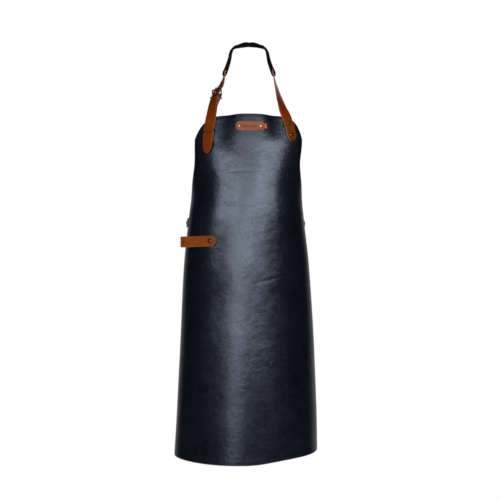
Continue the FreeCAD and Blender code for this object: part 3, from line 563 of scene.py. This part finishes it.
def strap(name, stations, thick, ends, gap, phase, width=STRAP, materials=BROWN):
    """A leather strap along its stations, with rounded edges, a creased border and shaped ends."""
    line = smooth_line(stations, gap)
    lengths = [0.0]
    for (a, n), (b, m) in zip(line, line[1:]):
        lengths.append(lengths[-1] + (b - a).length)
    total = lengths[-1]
    # closer rows where an end curves
    extra = []
    for k in range(1, 12):
        part = 1 - math.cos(math.pi / 2 * k / 12)
        extra.append(end_reach(ends[0], width) * part)
        extra.append(total - end_reach(ends[1], width) * part)
    stops = sorted({round(v, 3) for v in lengths + extra})
    points, count = [], 0
    centres = np.array([list(c) for c, n in line])
    ways = np.array([list(n) for c, n in line])
    for at in stops:
        centre = Vector(read(at, lengths, centres))
        ahead = Vector(read(min(at + 1.5, total), lengths, centres))
        behind = Vector(read(max(at - 1.5, 0), lengths, centres))
        along = (ahead - behind).normalized()
        side = Vector(read(at, lengths, ways)).cross(along).normalized()
        out = along.cross(side)
        part = min(end_part(ends[0], at, width), end_part(ends[1], total - at, width))
        profile = strap_profile(width / 2 * part, thick, CREASE)
        count = len(profile)
        wander = 0.12 * math.sin(at / 7.3 + phase) + 0.1 * math.sin(at / 17.0 + 2.1 * phase)
        points += [centre + side * (a + wander) + out * h for a, h, slot in profile]
    slots_of = [slot for a, h, slot in strap_profile(width / 2, thick, CREASE)]
    faces, slots = [], []
    for i in range(len(stops) - 1):
        for j in range(count):
            k = (j + 1) % count
            faces.append([i * count + j, (i + 1) * count + j, (i + 1) * count + k, i * count + k])
            slots.append(slots_of[j])
    faces.append(list(range(count)))
    faces.append([(len(stops) - 1) * count + j for j in range(count)][::-1])
    slots += [1, 1]
    return make_object(name, points, faces, slots, materials, sharp=55)


def stands_for(made, body, slot, *nodes):
    """The piece takes the place of CAD nodes, and moves with one body."""
    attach(made, body)
    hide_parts(*nodes)


# ---- the panel
PANEL_COLUMNS = 220
PANEL_ROWS = 300
BORDER_IN = 4.5  # the pressed line, in from the cut edge
BORDER_DEPTH = 0.45
EDGE_DEPTH = 0.5  # the face falls by this much at the cut edge
EDGE_BULGE = 0.7  # and the edge stands out by this much between the faces
# What lies on the panel, which is smooth there: x, z and reach
FIXED = [(99, -245, 55), (-103, -245, 60), (2, -240, 60), (-98, -531, 50), (-120, -531, 60)]
FIXED += [(150, WAIST_Z, 70), (-150, WAIST_Z, 70)]
# Faint cross creases: height, tilt, depth, left and right end
CREASES = [
    (-353, 0.03, 0.35, -70, 5),
    (-438, -0.02, 0.4, -75, 40),
    (-640, 0.25, 0.5, 20, 75),
]
# Dents of the bib beside its label: depth, height of the foot, height over which it deepens, x, reach
DENTS = [
    (9.0, -305, 95, -56, 20),
    (7.5, -280, 70, 62, 18),
]
STRAP_INNER_EDGE = 84  # x


def spread(count, squeeze=0.7):
    """Numbers from -1 to 1 that are closer together at both ends."""
    t = np.linspace(-1, 1, count + 1)
    return squeeze * t + (1 - squeeze) * np.sin(t * np.pi / 2)


def calm(x, z):
    """1 away from what is fixed to the panel, 0 at it."""
    result = np.ones_like(x)
    for fx, fz, reach in FIXED:
        away = np.hypot(x - fx, z - fz) / reach
        result *= 1 - np.exp(-(away**4))
    return result


def waves(angle, x, z):
    """How far the hung leather stands out from the smooth body, in millimetres."""
    skirt = np.clip((-520 - z) / 420, 0, 1)
    around = np.radians(angle)
    folds = 1.9 * np.sin(2.6 * around + 0.5 + (z + 700) / 520) * skirt
    folds += 0.9 * np.sin(5.3 * around - 1.2 + (z + 500) / 330) * skirt
    belly = 0.5 * np.sin(3.1 * around + z / 95) * np.sin(z / 61 + 0.7)
    bib = 0.55 * np.sin(4.0 * around + 1.0) * np.sin((z + 208) / 42) * np.clip((z + 420) / 120, 0, 1)
    crease = 0.0
    for height, tilt, depth, left, right in CREASES:
        line = z - height - tilt * x
        inside = 1 / (1 + np.exp(-(x - left) / 9)) / (1 + np.exp((x - right) / 9))
        crease = crease - depth * np.exp(-((line / 2.6) ** 2)) * inside
    dent = 0.0
    for depth, foot, rise, middle, reach in DENTS:
        deepest = depth * np.clip((z - foot) / rise, 0, 1.1) ** 1.5
        dent = dent + deepest * np.exp(-(((x - middle) / reach) ** 2))
    return (folds + belly + bib + crease) * calm(x, z) - dent * between_straps(x)


def between_straps(x):
    """1 on the open bib, 0 under the feet of the neck straps."""
    left = 1 / (1 + np.exp(-(x + STRAP_INNER_EDGE) / 3))
    right = 1 / (1 + np.exp((x - STRAP_INNER_EDGE) / 3))
    return left * right


def from_edge(base):
    """How far each point of the panel is from its nearest cut edge."""
    rows, columns = base.shape[:2]
    across = np.linalg.norm(np.diff(base, axis=1), axis=-1)
    from_left = np.concatenate([np.zeros((rows, 1)), np.cumsum(across, 1)], 1)
    from_side = np.minimum(from_left, from_left[:, -1:] - from_left)
    down = np.linalg.norm(np.diff(base, axis=0), axis=-1)
    from_top = np.concatenate([np.zeros((1, columns)), np.cumsum(down, 0)], 0)
    from_end = np.minimum(from_top, from_top[-1:] - from_top)
    return np.minimum(from_side, from_end)


def grid_rim(rows, columns):
    """The numbers of a grid's outer points, in order round it."""
    rim = list(range(columns))
    rim += [i * columns + columns - 1 for i in range(1, rows)]
    rim += [(rows - 1) * columns + j for j in range(columns - 2, -1, -1)]
    rim += [i * columns for i in range(rows - 2, 0, -1)]
    return rim


def make_panel():
    """The panel, and the area of its smooth surface before it is folded, in square metres."""
    u = spread(PANEL_COLUMNS)
    v = (spread(PANEL_ROWS) + 1) / 2
    uu, vv = np.meshgrid(u, v)
    pairs = (SHOULDER_POWER, HEM_RISE, HEM_BEND)
    power, rise, bend = [np.where(uu > 0, right, left) for left, right in pairs]
    top = BIB_TOP - BIB_BOW * uu**2 - SHOULDER_DROP * np.abs(uu) ** power
    bottom = HEM + rise * (1 - np.exp(-((uu / bend) ** 2)))
    z = top + (bottom - top) * vv
    angle = uu * np.interp(z, HEIGHTS, PROFILE[:, 4])
    base = bare_skin(angle, z)
    normal = skin_normal(angle, z)
    lift = waves(angle, base[..., 0], z)
    border = from_edge(base)
    press = -BORDER_DEPTH * np.exp(-(((border - BORDER_IN) / 0.9) ** 2))
    press = press - EDGE_DEPTH * np.exp(-((border / 1.1) ** 2))
    outer = base + normal * (lift + press)[..., None]
    inner = base + normal * (lift - PANEL_THICK)[..., None]
    points = np.concatenate([outer.reshape(-1, 3), inner.reshape(-1, 3)])
    rows, columns = z.shape
    size = rows * columns
    faces, slots = [], []
    for i in range(rows - 1):
        for j in range(columns - 1):
            a = i * columns + j
            faces.append([a, a + columns, a + columns + 1, a + 1])
            faces.append([size + a, size + a + 1, size + a + columns + 1, size + a + columns])
            slots += [0, 2]
    rim = grid_rim(rows, columns)
    # the rim bulges a little between the two faces
    middle_start = len(points)
    middles = []
    for k, a in enumerate(rim):
        along = points[rim[(k + 1) % len(rim)]] - points[rim[k - 1]]
        through = points[a] - points[size + a]
        out = np.cross(through, along)
        out = out / max(np.linalg.norm(out), 1e-9)
        middles.append((points[a] + points[size + a]) / 2 + out * EDGE_BULGE)
    points = np.concatenate([points, np.array(middles)])
    for k, a in enumerate(rim):
        b = rim[(k + 1) % len(rim)]
        m, n = middle_start + k, middle_start + (k + 1) % len(rim)
        faces.append([a, b, n, m])
        faces.append([m, n, size + b, size + a])
        slots += [1, 1]
    made = make_object("panel", points, faces, slots, (PANEL, PANEL_EDGE, PANEL_BACK))
    return made, area_of(base)


def area_of(base):
    """The area of a grid of points, in square metres."""
    a, b, c, d = base[:-1, :-1], base[:-1, 1:], base[1:, 1:], base[1:, :-1]
    one = np.linalg.norm(np.cross(b - a, c - a), axis=-1) / 2
    two = np.linalg.norm(np.cross(c - a, d - a), axis=-1) / 2
    return float((one + two).sum()) * MM * MM


panel, panel_area = make_panel()
stands_for(panel, "apron", "panel", "apron_panel")

# ---- the neck straps
BUCKLE_LOOK = 50.0  # degrees from the left side towards the front, the way that the buckle faces
BUCKLE_RUN = (15, 8, 0, -8, -15)  # the adjuster strap is straight through the buckle
BELOW_BUCKLE = Vector((-93.0, -142.5, -184.5))
UPPER_HOLE = Vector((-93.9, -147.2, -191.4))
UNDER_DROP = 4.5  # the buckle strap's middle is this far behind the adjuster strap's halfway down
RIGHT_FOLD = 93.2
LEFT_FOLD = -93.6
BAND_BACK = Vector((0, 0.26, 0.966))


def turned(angle):
    """The level direction at an angle from the right side towards the front."""
    t = math.radians(angle)
    return Vector((math.cos(t), -math.sin(t), 0))


class Buckle:
    """Where a buckle is, and what it needs of the straps that meet in it."""

    def __init__(self, spot, down, out):
        self.spot, self.down, self.out = spot, down, out

    def point(self, up, out):
        return self.spot - self.down * up + self.out * out

    def prong_slot(self):
        return prism(self.point(PRONG_SLOT_UP, 0), self.out, self.down, *PRONG_SLOT)

    def eye_slot(self):
        return prism(self.point(EYE_SLOT_UP, -HEEL_DEPTH), self.down, self.out, *EYE_SLOT)

    def folded_eye(self, leaf):
        """Stations of a strap end that goes up behind the heel bar, over it and down before it."""
        bar = -HEEL_DEPTH
        upward = (self.point(1, 0) - self.point(0, 0)).normalized()
        stations = []
        for up in (-FLAP_LENGTH, -26, -18, -10, -3):
            stations.append((self.point(up, bar - EYE_R), self.out * -1))
        for degrees in range(0, 181, 30):
            t = math.radians(degrees)
            out = self.out * -math.cos(t) + upward * math.sin(t)
            stations.append((self.point(EYE_R * math.sin(t), bar - EYE_R * math.cos(t)), out))
        for up in (-4, -9, -LEAF_LENGTH, -leaf):
            stations.append((self.point(up, bar + EYE_R), self.out))
        return stations


BUCKLE_DOWN = Vector((-0.26, -0.55, -0.79)).normalized()
BUCKLE_OUT = square_to(mirrored(turned(BUCKLE_LOOK)), BUCKLE_DOWN)
NECK_BUCKLE = Buckle(Vector((-86.0, -117.0, -152.5)), BUCKLE_DOWN, BUCKLE_OUT)

# From the middle of the back round to the right end: place, and the direction that the band faces
BAND_HALF = [
    ((0, 2, 1), BAND_BACK),
    ((12, 1.8, 0.6), BAND_BACK),
    ((24, 0.8, -2), (0.08, 0.16, 0.98)),
    ((35.5, -3.5, -6.2), (0.30, 0.06, 0.95)),
    ((42.5, -11, -11.8), (0.62, 0.02, 0.78)),
    ((46.7, -20, -21), (0.88, 0, 0.47)),
    ((49.2, -30, -31), (0.98, 0, 0.19)),
    ((51.8, -42, -48), (1, 0, 0)),
    ((57.6, -58.5, -71), turned(2)),
    ((63.4, -73, -91.4), turned(8)),
]
ABOVE_BUCKLE = [
    ((-67.6, -85, -106.5), 24.0),
    ((-70.8, -92.5, -119.0), 34.0),
    ((-75.0, -99.5, -130.0), 44.0),
]
RIGHT_STRAP = BAND_HALF[-2:] + [
    ((68.4, -89, -115.2), turned(20)),
    ((74.4, -109, -144.5), turned(34)),
    ((81.2, -129, -173.4), turned(50)),
    ((88, -144.5, -197), turned(62)),
]


def bib_run(places, lift):
    """Stations on the bib, from (x, z) places, at a lift that may change with height."""
    stations = []
    for x, z in places:
        height = lift(z) if callable(lift) else lift
        stations.append(on_bib(x, z, height))
    return stations


def bends_over_bib(made, *nodes):
    """The piece is one strap that stands for CAD nodes on both sides of the fold."""
    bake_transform(made)
    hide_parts(*nodes)


def right_strap():
    places = [(RIGHT_FOLD + 0.6, -213), (99.6, -229.4), (103.9, -244.5), (107.4, -259.5), (111.2, -274.2)]
    stations = RIGHT_STRAP + bib_run(places, FIT + STRAP_THICK / 2 + 0.1)
    made = strap("right_strap_leather", stations, STRAP_THICK, ("square", "round"), 2.5, 1.0)
    bends_over_bib(made, "right_strap", "right_strap_foot")


def below_buckle(drop):
    """Where the adjuster strap is halfway to the bib, or a layer that is a drop behind it."""
    low = Vector(skin_normal(angle_at(LEFT_FOLD, FOLD_Z), FOLD_Z))
    way = (BUCKLE_OUT + low).normalized()
    return BELOW_BUCKLE - way * drop, way


def adjuster_strap():
    top = [(mirrored(c), mirrored(n)) for c, n in RIGHT_STRAP[:2]]
    top += [(place, mirrored(turned(look))) for place, look in ABOVE_BUCKLE]
    run = [(NECK_BUCKLE.point(up, 0), BUCKLE_OUT) for up in BUCKLE_RUN]
    places = [(LEFT_FOLD, -211), (-96.5, -224.4), (-99.7, -249.6), (-101.5, -274.8), (-104.2, -308.8)]
    stations = top + run + [below_buckle(0)] + bib_run(places, STACK + STRAP_THICK / 2)
    made = strap("adjuster_leather", stations, STRAP_THICK, ("square", "tip"), 2.5, 2.0)
    cutters = [NECK_BUCKLE.prong_slot()]
    cutters.append(punch(UPPER_HOLE, below_buckle(0)[1], BUCKLE_DOWN, 7))
    for x, z in ((-99.0, -243.0), (-102.0, -286.0)):
        spot, out = on_bib(x, z, STACK + STRAP_THICK / 2)
        cutters.append(punch(spot, out, UP, 5))
    cut(made, cutters)
    bends_over_bib(made, "adjuster_strap", "adjuster_tail")


def stack_wave(z):
    """How far the buckle strap's middle is from the panel, with a rise over the lower keeper."""
    away = (z - LOWER_KEEPER_Z) / KEEPER_WAVE
    return FIT + KEEPER_LIFT * math.exp(-(away**2)) + UNDER_THICK / 2


def buckle_strap():
    stations = NECK_BUCKLE.folded_eye(LEAF_LENGTH + 3)
    stations.append(below_buckle(UNDER_DROP))
    stations += bib_run([(LEFT_FOLD, -209)], FIT + 0.6 + UNDER_THICK / 2)
    places = [(-96.4, -228), (-97.9, -240), (-98.9, -251), (-99.8, -261), (-100.8, -271), (-101.6, -283)]
    stations += bib_run(places, stack_wave)
    made = strap("buckle_leather", stations, UNDER_THICK, ("square", "round"), 1.6, 3.0)
    cut(made, [NECK_BUCKLE.eye_slot()])
    bends_over_bib(made, "buckle_strap", "buckle_strap_foot")


right_strap()
adjuster_strap()
buckle_strap()


# ---- the neck band
def unit(values):
    return values / np.linalg.norm(values, axis=-1, keepdims=True)


def with_mouths(rings):
    """The ends turn in, to the mouths that hold the straps."""
    mouths = []
    for ring, next_in in ((rings[0], rings[4]), (rings[-1], rings[-5])):
        way = unit((next_in - ring).mean(0))
        core = ring.mean(0)
        lip = core + (ring - core) * 0.82 - way * 0.5
        throat = core + (ring - core) * 0.78 + way * 3.0
        mouths.append(np.stack([throat, lip]))
    return np.concatenate([mouths[0], rings, mouths[1][::-1]])


def neck_band():
    """A gathered tube of elastic fabric, pressed flat, with folds along it and open slanted ends."""
    left = [(mirrored(c), mirrored(n)) for c, n in BAND_HALF[:0:-1]]
    line = smooth_line(left + BAND_HALF, 1.2)
    centres = np.array([c[:] for c, n in line])
    ways = np.array([n[:] for c, n in line])
    steps = np.linalg.norm(np.diff(centres, axis=0), axis=1)
    lengths = np.concatenate([[0.0], np.cumsum(steps)])
    tangents = np.gradient(centres, lengths, axis=0)
    middle = lengths[-1] / 2
    around = 72
    t = np.linspace(0, 2 * math.pi, around, endpoint=False)[None, :]
    outer = np.sin(t)
    slant = 1 - END_SLANT * (0.5 - 0.5 * outer) / middle
    at = middle + (lengths[:, None] - middle) * slant

    along = unit(read(at, lengths, tangents))
    side = unit(np.cross(read(at, lengths, ways), along))
    out = np.cross(along, side)
    from_end = np.minimum(lengths, lengths[-1] - lengths)[:, None]
    from_middle = np.abs(lengths - middle)[:, None]
    pinch = np.exp(-((from_middle / 5.0) ** 2))
    neck = np.exp(-(((from_end - 66) / 24) ** 2))
    flare = np.exp(-from_end / 11.0)
    half_wide = BAND_WIDTH / 2 * (1 - 0.12 * neck - 0.14 * pinch)
    sides = 1 / (1 + np.exp(-(from_middle - 62) / 7))
    half_thick = 2.3 + 1.25 * sides + 0.25 * np.sin(lengths / 9.0)[:, None]
    half_thick = half_thick * (1 + flare * np.where(outer > 0, 0.75, 0.05))
    a = np.sign(np.cos(t)) * np.abs(np.cos(t)) ** 0.75 * half_wide
    h = np.sign(outer) * np.abs(outer) ** 0.6 * half_thick
    place = lengths[:, None]
    fold = 0.42 * np.sin(a * 1.35 + 0.6 * np.sin(place / 21)) + 0.25 * np.sin(a * 2.9 + place / 15)
    pucker = 0.22 * np.sin(place * 1.25 + 1.7 * np.sin(a * 0.5)) * (0.4 + flare)
    h = h + (fold + pucker) * outer
    a = a + 0.35 * np.sin(place / 4.1 + 0.8 * np.cos(t)) * np.abs(np.cos(t))
    rings = with_mouths(read(at, lengths, centres) + side * a[..., None] + out * h[..., None])
    starts = [i * around for i in range(len(rings))]
    faces = []
    for a, b in zip(starts, starts[1:]):
        faces += ring_faces(a, b, around)
    faces.append(list(range(around))[::-1])
    faces.append([starts[-1] + j for j in range(around)])
    made = make_object("neck_band_fabric", rings.reshape(-1, 3), faces, None, (BAND,))
    stands_for(made, "neck_loop", "band", "neck_band")
    return made


band = neck_band()


# ---- the waist belt
def belt_point(angle, lift):
    """A point of the belt at an angle round the body and a lift from it."""
    return Vector(skin(angle, WAIST_Z, lift))


WAIST_BUCKLE_ANGLE = 152.0
WAIST_OUT = square_to(Vector(skin_normal(WAIST_BUCKLE_ANGLE, WAIST_Z)), UP)
WAIST_DOWN = UP.cross(WAIST_OUT).normalized() * -1
WAIST_BUCKLE = Buckle(belt_point(WAIST_BUCKLE_ANGLE, 10.0), WAIST_DOWN, WAIST_OUT)


def belt_run(start, end, lift_a, lift_b, count):
    """Stations between two angles, which lean with the panel at the sides and stand upright behind."""
    stations = []
    for i in range(count):
        t = i / (count - 1)
        angle = start + (end - start) * t
        leaning = Vector(skin_normal(angle, WAIST_Z))
        fade = min(1, max(0, (abs(angle) - 112) / 20))
        way = leaning.lerp(square_to(leaning, UP), fade)
        stations.append((belt_point(angle, lift_a + (lift_b - lift_a) * t), way))
    return stations


def left_belt():
    mid = BELT_LIFT + STRAP_THICK / 2
    stations = belt_run(-86, -130, mid, mid, 8) + belt_run(-140, -180, mid + 0.5, 6.5, 5)
    stations += [(WAIST_BUCKLE.point(up, 0), WAIST_OUT) for up in (22, 14, 7, 0, -7, -14, -20)]
    stations += belt_run(136, 112, 9.4, 8.2, 5)
    made = strap("left_belt_leather", stations, STRAP_THICK, ("round", "tip"), 3.5, 4.0)
    cutters = [WAIST_BUCKLE.prong_slot()]
    for angle, lift in ((126, 9.0), (171, 7.2), (-176, 6.3), (-163, 4.5)):
        cutters.append(punch(belt_point(angle, lift), Vector(skin_normal(angle, WAIST_Z)), UP, 5))
    cut(made, cutters)
    stands_for(made, "apron", "strap", "left_waist_strap")


def right_belt():
    stations = WAIST_BUCKLE.folded_eye(LEAF_LENGTH + 4)
    mid = BELT_LIFT + UNDER_THICK / 2
    stations += belt_run(134, 114, mid + 3.4, mid, 4) + belt_run(110, 96, mid, mid, 5)
    made = strap("right_belt_leather", stations, UNDER_THICK, ("square", "round"), 1.8, 5.0)
    cut(made, [WAIST_BUCKLE.eye_slot()])
    stands_for(made, "apron", "strap", "right_waist_strap")


left_belt()
right_belt()


# ---- label and tag
LABEL_EDGE = raw_edge("label_edge", (0.20, 0.085, 0.05), (0.34, 0.16, 0.10))
RIM_HEIGHT = 2.35
FACE_SINK = 0.28  # the face inside the rim is lower by this much
GROOVE_IN = 2.3  # the groove between them, in from the edge
GROOVE_DEPTH = 0.5
RIVET_SINK = 0.55  # the leather is pressed in by this much round a rivet
RIVET_SINK_R = 4.6


def make_label():
    """A pill of leather with a raised rim, pressed round its two rivets, bent to the bib."""
    half = LABEL_SIZE[0] / 2
    radius = LABEL_SIZE[1] / 2
    straight = half - radius
    around = 120
    insets = [0.0, 0.25, 0.7, 1.3, 1.8, 2.1, 2.5, 3.0, 3.8, 5, 6, 7, 8, 9, 10, 11, 11.8]
    centre_x, centre_z = LABEL_CENTRE

    def pill_point(r, t):
        shift = straight if math.cos(t) >= 0 else -straight
        return shift + r * math.cos(t), r * math.sin(t)

    def height(x, z, inset):
        rim = RIM_HEIGHT - GROOVE_DEPTH * math.exp(-((inset - GROOVE_IN) / 0.45) ** 2)
        edge = -0.7 * math.exp(-((inset / 0.45) ** 2))
        sunk = 0.0
        for rivet_x in LABEL_RIVETS:
            away = math.hypot(x - (rivet_x - centre_x), z)
            sunk = sunk - RIVET_SINK * math.exp(-((away / RIVET_SINK_R) ** 4))
        level = RIM_HEIGHT - FACE_SINK * (1 / (1 + math.exp(-(inset - 2.9) / 0.25)))
        return min(rim, level) + edge + sunk

    turns = [2 * math.pi * j / around for j in range(around)]
    points = []
    for inset in insets:
        for t in turns:
            x, z = pill_point(radius - inset, t)
            if abs(math.cos(t)) < 1e-6:
                x = 0.0  # the middle of a straight side
            points.append(on_bib(centre_x + x, centre_z + z, FIT + height(x, z, inset))[0])
    base = len(points)
    for lift, bulge in ((1.4, 0.25), (0.0, 0.0)):
        for t in turns:
            x, z = pill_point(radius + bulge, t)
            points.append(on_bib(centre_x + x, centre_z + z, FIT + lift)[0])
    faces, slots = [], []

    starts = [i * around for i in range(len(insets))]
    joins = [(a, b, 0) for a, b in zip(starts, starts[1:])] + [(base, 0, 1), (base + around, base, 1)]
    for a, b, slot in joins:
        faces += ring_faces(a, b, around)
        slots += [slot] * around
    faces.append([starts[-1] + j for j in range(around)])
    faces.append([base + around + j for j in range(around)][::-1])
    slots += [0, 1]
    made = make_object("label_leather_plate", points, faces, slots, (LABEL, LABEL_EDGE), sharp=50)
    stands_for(made, "apron", "label", "label")


make_label()


def make_tag():
    """A folded ribbon tag whose loop sticks out from under the label."""
    start = LABEL_CENTRE[0] + LABEL_SIZE[0] / 2 - 6
    columns, rows = 20, 10
    points = []
    for side in (0, 1):
        for i in range(columns + 1):
            run = i / columns
            x = start + TAG_LENGTH * run
            swell = 0.5 * math.sin(math.pi * max(0, (run - 0.45) / 0.55))
            for j in range(rows + 1):
                z = LABEL_CENTRE[1] + TAG_WIDTH * (j / rows - 0.5)
                curl = 0.12 * math.sin(j * 0.9) * run
                level = 0.15 if side else 0.75 + swell
                points.append(on_bib(x, z, FIT + level + curl)[0])
    size = (columns + 1) * (rows + 1)
    faces = []
    for i in range(columns):
        for j in range(rows):
            a = i * (rows + 1) + j
            faces.append([a, a + rows + 1, a + rows + 2, a + 1])
            faces.append([size + a, size + a + 1, size + a + rows + 2, size + a + rows + 1])
    rim = grid_rim(columns + 1, rows + 1)
    for a, b in zip(rim, rim[1:] + rim[:1]):
        faces.append([a, b, size + b, size + a])
    made = make_object("side_tag_ribbon", points, faces, None, (TAG,), sharp=50)
    stands_for(made, "apron", "tag", "side_tag")


make_tag()

# ---- towel loop
TOWEL_ANGLE = angle_at(*TOWEL_STUD)
TOWEL_OUT = Vector(skin_normal(TOWEL_ANGLE, TOWEL_STUD[1]))
TOWEL_UP = square_to(Vector((TOWEL_TILT, 0, 1)), TOWEL_OUT)
TOWEL_ALONG = TOWEL_UP.cross(TOWEL_OUT).normalized()
TOWEL_SPOT = Vector(skin(TOWEL_ANGLE, TOWEL_STUD[1], TOWEL_LIFT))
TOWEL_CLOSED = TOWEL_THICK + 0.3
TOWEL = towel_leather(TOWEL_SPOT, TOWEL_ALONG, TOWEL_UP)


def towel_point(along, out):
    return TOWEL_SPOT + TOWEL_ALONG * along + TOWEL_OUT * out


TOWEL_LEATHER = (TOWEL, COGNAC_EDGE, COGNAC_BACK)
TOWEL_HUB = -TOWEL_LENGTH + TOWEL_INNER + TOWEL_THICK  # the fold's centre, along from the stud
TOWEL_MIDDLE = TOWEL_INNER + TOWEL_THICK  # and its distance from the back leaf's underside
TOWEL_R = TOWEL_INNER + TOWEL_THICK / 2


def towel_back():
    """The leaf on the panel, and the fold up to where the flap starts."""
    stations = []
    for x in (TOWEL_END, 0, -20, -40, -60, TOWEL_HUB + 6):
        stations.append((towel_point(x, TOWEL_THICK / 2), TOWEL_OUT * -1))
    for degrees in (0, 30, 60, 90, 120, 150, 172):
        t = math.radians(degrees)
        out = TOWEL_OUT * -math.cos(t) - TOWEL_ALONG * math.sin(t)
        spot = towel_point(TOWEL_HUB - TOWEL_R * math.sin(t), TOWEL_MIDDLE - TOWEL_R * math.cos(t))
        stations.append((spot, out))
    stations.append((towel_point(TOWEL_HUB, TOWEL_MIDDLE + TOWEL_R), TOWEL_OUT))
    ends = ("round", "square")
    made = strap("towel_back_leather", stations, TOWEL_THICK, ends, 1.6, 6.0, TOWEL_WIDTH, TOWEL_LEATHER)
    stands_for(made, "apron", "towel", "towel_loop_back")


def towel_flap():
    """The front leaf, from the fold to the stud."""
    top = TOWEL_MIDDLE + TOWEL_R
    seat = TOWEL_CLOSED + TOWEL_THICK / 2
    fold = [(TOWEL_HUB + 0.3, top), (TOWEL_HUB + 6, top - 0.35)]
    slope = [(-60, 9.0), (-40, 7.0), (-20, 4.8)]
    flat = [(-9, seat), (0, seat), (TOWEL_END, seat)]
    stations = [(towel_point(x, h), TOWEL_OUT) for x, h in fold + slope + flat]
    ends = ("square", "round")
    made = strap("towel_flap_leather", stations, TOWEL_THICK, ends, 2.0, 7.0, TOWEL_WIDTH, TOWEL_LEATHER)
    cut(made, [prism(towel_point(0, seat), TOWEL_OUT, TOWEL_UP, STUD_HOLE_R, STUD_HOLE_R, 5)])
    stands_for(made, "towel_flap", "towel", "towel_loop_flap")


towel_back()
towel_flap()

# ---- metal that comes from the CAD
RIVETED = ("right_strap", "left_strap", "left_waist", "right_waist")
METALS = {f"{place}_{part}": BRONZE for place in RIVETED for part in ("rivets", "rivet_backs")}
METALS |= {f"towel_stud_{part}": BRONZE for part in ("cap", "socket", "post")}
METALS |= {f"{place}_keeper": BRONZE for place in ("upper", "lower", "waist")}
METALS |= {f"{place}_buckle_frame": BRONZE for place in ("neck", "waist")}
METALS |= {f"{place}_buckle_prong": STEEL for place in ("neck", "waist")}
METALS |= {f"label_{part}": GOLD for part in ("rivets", "rivet_backs")}
for node, material in METALS.items():
    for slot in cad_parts[node].material_slots:
        slot.link = "OBJECT"
        slot.material = material


# ---- floor, light and camera
ROOM_GLOW = 0.009
FLOOR_GLOW = 0.55
WALL_GLOW = 0.45
FLOOR_LEVEL = -1530.0
FLOOR_REACH = 1000.0
LIGHT_REACH = 2.9
LIGHT_AIM = Vector((0.0, -0.15, -0.45))
CAMERA_SPOT = (0.0025, -2.585, -0.552)
SENSOR = 36
# The camera sees this width at this distance, in metres
VIEW_WIDTH = 1.25
VIEW_DISTANCE = 2.4
# Name, degrees to the right of the camera, degrees above it, width, height, brightness
SOFTBOXES = [
    ("key_left", -28, 12, 1.80, 0.46, 8.3),
    ("key_right", 32, 12, 1.60, 0.46, 8.8),
    ("centre_high", 6, 16.5, 1.72, 0.92, 3.3),
    ("centre_wide", 5, 3, 2.95, 0.46, 4.4),
    ("centre_spot", 6, 3, 0.56, 0.46, 5.2),
    ("strip_low", -6, -8, 0.60, 0.75, 4.8),
    ("back_high", 172, 24, 2.40, 1.60, 2.6),
]


def softbox(name, azimuth, elevation, width, height, glow):
    """A rectangular studio light on a sphere round the apron, facing it."""
    side, rise = math.radians(azimuth), math.radians(elevation)
    way = Vector((math.sin(side) * math.cos(rise), -math.cos(side) * math.cos(rise), math.sin(rise)))
    data = bpy.data.lights.new(name, "AREA")
    data.shape = "RECTANGLE"
    data.size, data.size_y = width, height
    data.energy = glow * math.pi * width * height
    data.color = (0.93, 0.96, 1.0)
    made = bpy.data.objects.new(name, data)
    made.location = LIGHT_AIM + way * LIGHT_REACH
    made.rotation_euler = (way * -1).to_track_quat("-Z", "Y").to_euler()
    bpy.context.scene.collection.objects.link(made)


def make_floor():
    """A pale round floor below the apron, as far down as a wearer's feet are."""
    around = 96
    points = []
    for i in range(around):
        t = 2 * math.pi * i / around
        points.append((FLOOR_REACH * math.cos(t), FLOOR_REACH * math.sin(t), FLOOR_LEVEL))
    make_object("floor", points, [list(range(around))], None, (pale_floor(),))


def make_world():
    """White to the camera. To the leather, a pale studio wall behind it and a dim room before it."""
    world = bpy.data.worlds.new("studio")
    bpy.context.scene.world = world
    world.use_nodes = True
    g = Graph(world.node_tree, "Generated")
    white = (1, 1, 1)
    strength = g.span(g.axes()["Y"], 0.55, 0.95, ROOM_GLOW, WALL_GLOW)
    glow = g.node("ShaderNodeBackground", {"Color": white, "Strength": strength}).outputs[0]
    seen = g.node("ShaderNodeBackground", {"Color": white}).outputs[0]
    direct = g.node("ShaderNodeLightPath").outputs["Is Camera Ray"]
    join = g.node("ShaderNodeMixShader", {0: direct, 1: glow, 2: seen})
    g.node("ShaderNodeOutputWorld", {"Surface": join.outputs[0]})


def make_camera():
    data = bpy.data.cameras.new("camera")
    data.sensor_width = SENSOR
    data.lens = SENSOR * VIEW_DISTANCE / VIEW_WIDTH
    made = bpy.data.objects.new("camera", data)
    made.location = CAMERA_SPOT
    made.rotation_euler = (math.radians(90), 0, 0)
    bpy.context.scene.collection.objects.link(made)
    bpy.context.scene.camera = made


make_floor()
make_world()
make_camera()
for box in SOFTBOXES:
    softbox(*box)
bpy.context.scene.view_settings.view_transform = "Standard"
